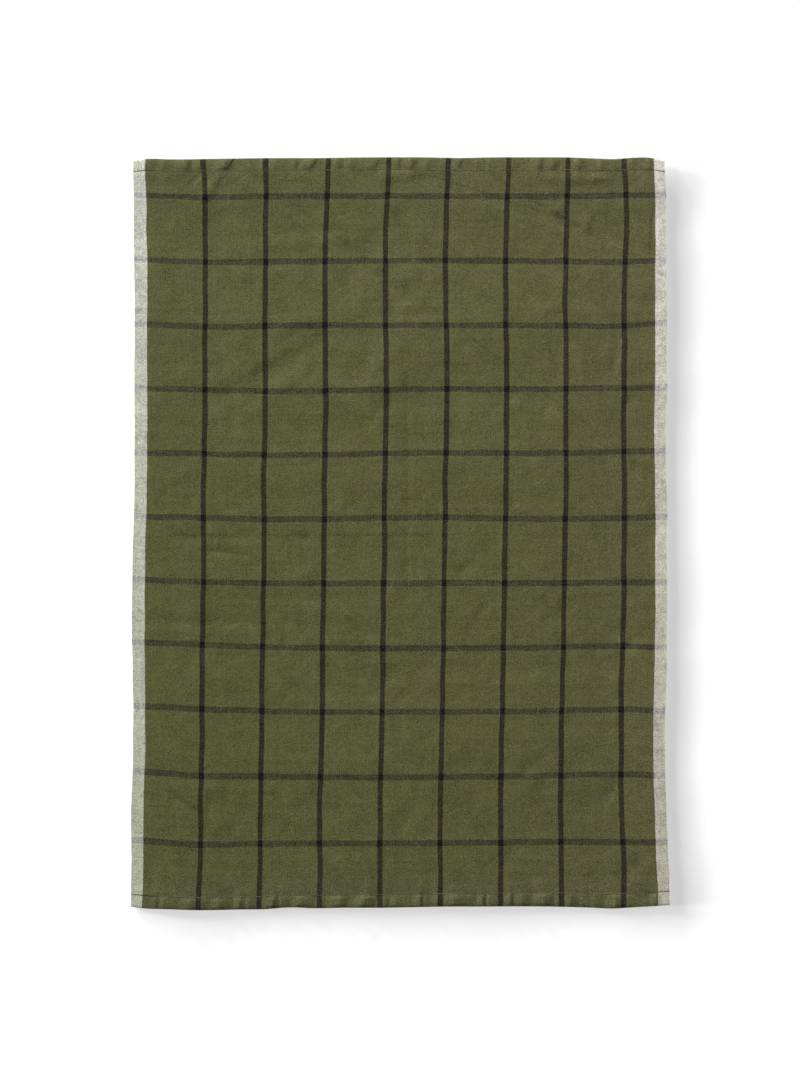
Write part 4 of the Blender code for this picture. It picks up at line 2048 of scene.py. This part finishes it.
@dataclass
class SelvedgeLoops:
    """The crosswise yarn's small turns along both selvedges."""

    cloth: TowelCloth
    name: str = "selvedge_loops"
    pitch: float = 0.00112
    reach: float = 0.00006
    yarn: float = 0.00030
    rise: float = 0.00022
    half_width: float = 0.42  # of the pitch
    root: float = 1.6  # how many radii inside the edge a loop starts
    bends: int = 5
    smallest: Vector3 = (0.95, 0.70, 0.90)
    largest: Vector3 = (1.05, 1.30, 1.10)
    seed: int = 9

    def build(self, material: bpy.types.Material) -> bpy.types.Object:
        """Make the turns of both sides.

        Args:
            material: The yarn's finish.

        Returns:
            All the loops, as one mesh.
        """
        grid = self.cloth.grid()
        pick = grid.cuts - self.cloth.lower.turned_length
        made = []
        for side, column in ((Selvedge.LEFT, 0), (Selvedge.RIGHT, -1)):
            inputs = {
                "Pitch": self.pitch,
                "Reach": self.reach,
                "Radius": self.yarn / 2,
                "Outward": (float(side.value), 0.0, 0.0),
                "Seed": self.seed,
                "Material": material,
            }
            line = grid.points[:, column] + (0.0, 0.0, self.rise)
            guide = guide_mesh("selvedge_line", [line], [pick])
            made.append(self._tree(inputs).grow(f"{self.name}_{side.name.lower()}", guide))
        return joined(self.name, made)

    def _tree(self, inputs: Mapping[str, Any]) -> GeometrySheet:
        """Build the tree that sets loops along a selvedge.

        Args:
            inputs: Its inputs and their values.

        Returns:
            The tree.
        """
        sheet = GeometrySheet("selvedge_turns", inputs)
        half = sheet.get("Pitch") * self.half_width
        inward = 0.0 - sheet.get("Radius") * self.root
        start, end = sheet.vector(0.0 - half, inward, 0.0), sheet.vector(half, inward, 0.0)
        outermost = sheet.vector(0.0, sheet.get("Reach") * 2 + sheet.get("Radius"), 0.0)
        loop = sheet.swept(start, outermost, end, self.bends)
        sheet.close(sheet.along_line(loop, "Y", sheet.get("Outward"), self.smallest, self.largest))
        return sheet


@dataclass
class CaughtFibre:
    """The small knots of pale fibre in the face."""

    cloth: TowelCloth
    name: str = "caught_fibre"
    size: float = 0.0007
    smallest: Vector3 = (0.7, 0.7, 0.35)
    largest: Vector3 = (1.5, 1.0, 0.5)
    seed: int = 13

    def build(self, material: bpy.types.Material) -> bpy.types.Object:
        """Set the knots on the face.

        Args:
            material: The fibre's finish.

        Returns:
            All the knots, as one mesh.
        """
        inputs = {"Radius": self.size / 2, "Seed": self.seed, "Material": material}
        sheet = GeometrySheet("fibre_knots", inputs)
        ball = sheet.out("GeometryNodeMeshIcoSphere", Radius=sheet.get("Radius"), Subdivisions=2)
        laid = sheet.scatter(sheet.get("Geometry"), ball, self.smallest, self.largest)
        sheet.close(sheet.skewed(laid, 0.0, math.pi))
        guide = bpy.data.meshes.new("fibre_spots")
        guide.from_pydata([self._seat(nep) for nep in NEPS], [], [])
        return sheet.grow(self.name, guide)

    def _seat(self, nep: Nep) -> Vector3:
        """Return the spot on the face's upper side at a nep's plan place."""
        x, y = np.array([nep.x]), np.array([nep.y])
        z = self.cloth.thickness + self.cloth.bed(x, y) + self.cloth.creases(x, y)
        return nep.x, nep.y, float(z[0])


# ---------------- studio


def light_only(item: bpy.types.Object, lit: Sequence[bpy.types.Object]) -> bpy.types.Collection:
    """Let a light reach only some objects, and return the collection that names them."""
    receivers = bpy.data.collections.new(item.name + "_receivers")
    for piece in lit:
        receivers.objects.link(piece)
    item.light_linking.receiver_collection = receivers
    return receivers


@dataclass(frozen=True)
class SunLight:
    """A wide distant light: where it shines from and how strongly."""

    name: str
    heading: float  # degrees from +X, anticlockwise seen from above, to where the light stands
    elevation: float
    spread: float
    power: float
    shadowless: bool = False  # whether other things throw no shadow of it

    def place(self, lit: Sequence[bpy.types.Object]) -> None:
        """Add the light.

        Args:
            lit: The only objects that it reaches.
        """
        lamp = bpy.data.lights.new(self.name, "SUN")
        lamp.energy = self.power
        lamp.angle = math.radians(self.spread)
        item = add_to_scene(self.name, lamp)
        turn, lift = math.radians(self.heading), math.radians(self.elevation)
        source = Vector((math.cos(turn) * math.cos(lift), math.sin(turn) * math.cos(lift), math.sin(lift)))
        item.rotation_euler = source.to_track_quat("Z", "Y").to_euler()
        item.location = source * SUN_DISTANCE
        receivers = light_only(item, lit)
        if self.shadowless:
            item.light_linking.blocker_collection = receivers


LOW_LIGHT = {"spread": 7.0, "power": 3.2}


@dataclass
class Studio:
    """A pale floor, soft light from the upper left and a camera straight above the towel."""

    lens: float = 85.0
    sensor: float = 36.0
    frame_width: float = 0.748
    picture: Tuple[int, int] = (800, 1067)
    sight: float = 50.0
    floor_size: float = 12.0
    floor_colour: Colour = (0.90, 0.90, 0.90)
    floor_roughness: float = 0.9
    sky: float = 0.19
    backdrop: float = 1.0
    suns_on_floor: Tuple[SunLight, ...] = (
        SunLight("floor_fill", heading=90, elevation=90, spread=30, power=1.48, shadowless=True),
        SunLight("floor_low_light_1", heading=112, elevation=5.4, **LOW_LIGHT),
        SunLight("floor_low_light_2", heading=135, elevation=5.7, **LOW_LIGHT),
        SunLight("floor_low_light_3", heading=158, elevation=6.0, **LOW_LIGHT),
        SunLight("floor_low_light_4", heading=181, elevation=6.1, **LOW_LIGHT),
        SunLight("floor_high_light", heading=147, elevation=12, spread=14, power=1.97),
    )
    suns_on_cloth: Tuple[SunLight, ...] = (
        SunLight("cloth_light", heading=135, elevation=20, spread=14, power=5.20),
        SunLight("cloth_fill", heading=90, elevation=90, spread=110, power=0.16),
    )
    box_power: float = 4.0
    box_size: Tuple[float, float] = (0.9, 0.5)
    box_place: Vector3 = (0.06, 0.85, 0.85)
    box_aim: Vector3 = (0.0, 0.1, 0.0)

    def camera(self) -> None:
        """Hang the camera straight above the towel, its top towards the upper end."""
        lens = bpy.data.cameras.new("overhead_camera")
        lens.lens = self.lens
        lens.sensor_width = self.sensor
        lens.clip_end = self.sight
        item = add_to_scene("overhead_camera", lens)
        frame_height = self.frame_width * self.picture[1] / self.picture[0]
        item.location = (0.0, 0.0, frame_height * self.lens / self.sensor)
        bpy.context.scene.camera = item

    def floor(self) -> bpy.types.Object:
        """Lay the floor and return it."""
        half = self.floor_size / 2
        corners = [(-half, -half, 0), (half, -half, 0), (half, half, 0), (-half, half, 0)]
        mesh = bpy.data.meshes.new("floor")
        mesh.from_pydata(corners, [], [(0, 1, 2, 3)])
        mesh.materials.append(ShaderSheet("pale_floor").surface(self.floor_colour, self.floor_roughness, 0.0))
        item = add_to_scene("floor", mesh)
        return item

    def world(self) -> None:
        """Give the scene a pale even sky, and a lighter one behind what the camera sees."""
        world = bpy.data.worlds.new("studio")
        world.use_nodes = True
        world.node_tree.nodes.clear()
        sheet = NodeSheet(world.node_tree)
        seen = Wire(sheet, sheet.add("ShaderNodeLightPath").outputs["Is Camera Ray"])
        strength = self.sky + seen * (self.backdrop - self.sky)
        sockets = {"Color": WHITE, "Strength": strength}
        background = sheet.add("ShaderNodeBackground", sockets=sockets)
        sheet.add("ShaderNodeOutputWorld", sockets={"Surface": background.outputs[0]})
        bpy.context.scene.world = world
        bpy.context.scene.view_settings.view_transform = "Standard"

    def overhead(self, lit: Sequence[bpy.types.Object]) -> None:
        """Hang a soft box above the upper end, so that the light fades a little towards the lower one.

        Args:
            lit: The only objects that it reaches.
        """
        lamp = bpy.data.lights.new("soft_box", "AREA")
        lamp.shape = "RECTANGLE"
        lamp.size, lamp.size_y = self.box_size
        lamp.energy = self.box_power
        item = add_to_scene("soft_box", lamp)
        item.location = self.box_place
        item.rotation_euler = (Vector(self.box_aim) - item.location).to_track_quat("-Z", "Y").to_euler()
        item.visible_camera = False
        light_only(item, lit)

    def build(self, pieces: Sequence[bpy.types.Object]) -> None:
        """Set the whole studio up.

        Args:
            pieces: The towel's pieces.
        """
        self.camera()
        floor = self.floor()
        self.world()
        for light in self.suns_on_floor:
            light.place([floor])
        for light in self.suns_on_cloth:
            light.place(pieces)
        self.overhead(pieces)


# ---------------- all of it


def declare(piece: bpy.types.Object, slot: Slot) -> None:
    """Set a piece on the towel's body and log how many faces it has."""
    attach(piece, BODY)
    LOG.info("%s: %d faces", piece.name, len(piece.data.polygons))


def main() -> None:
    """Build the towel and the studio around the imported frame."""
    logging.basicConfig(level=logging.INFO, format="%(name)s: %(message)s")
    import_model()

    towel = TowelCloth()
    cotton = CottonFinish(towel.check, towel.lower.turned_length).dress()
    cloth = towel.build(cotton)
    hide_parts(CAD_NODE)
    declare(cloth, Slot.COTTON)

    stitching = HemStitching(towel).build(ThreadFinish().dress())
    declare(stitching, Slot.THREAD)
    loops = SelvedgeLoops(towel).build(LoopFinish(towel.check.weft).dress())
    declare(loops, Slot.COTTON)
    fibre = CaughtFibre(towel).build(FibreFinish().dress())
    declare(fibre, Slot.COTTON)

    Studio().build([cloth, stitching, loops, fibre])


if __name__ == "__main__":
    main()
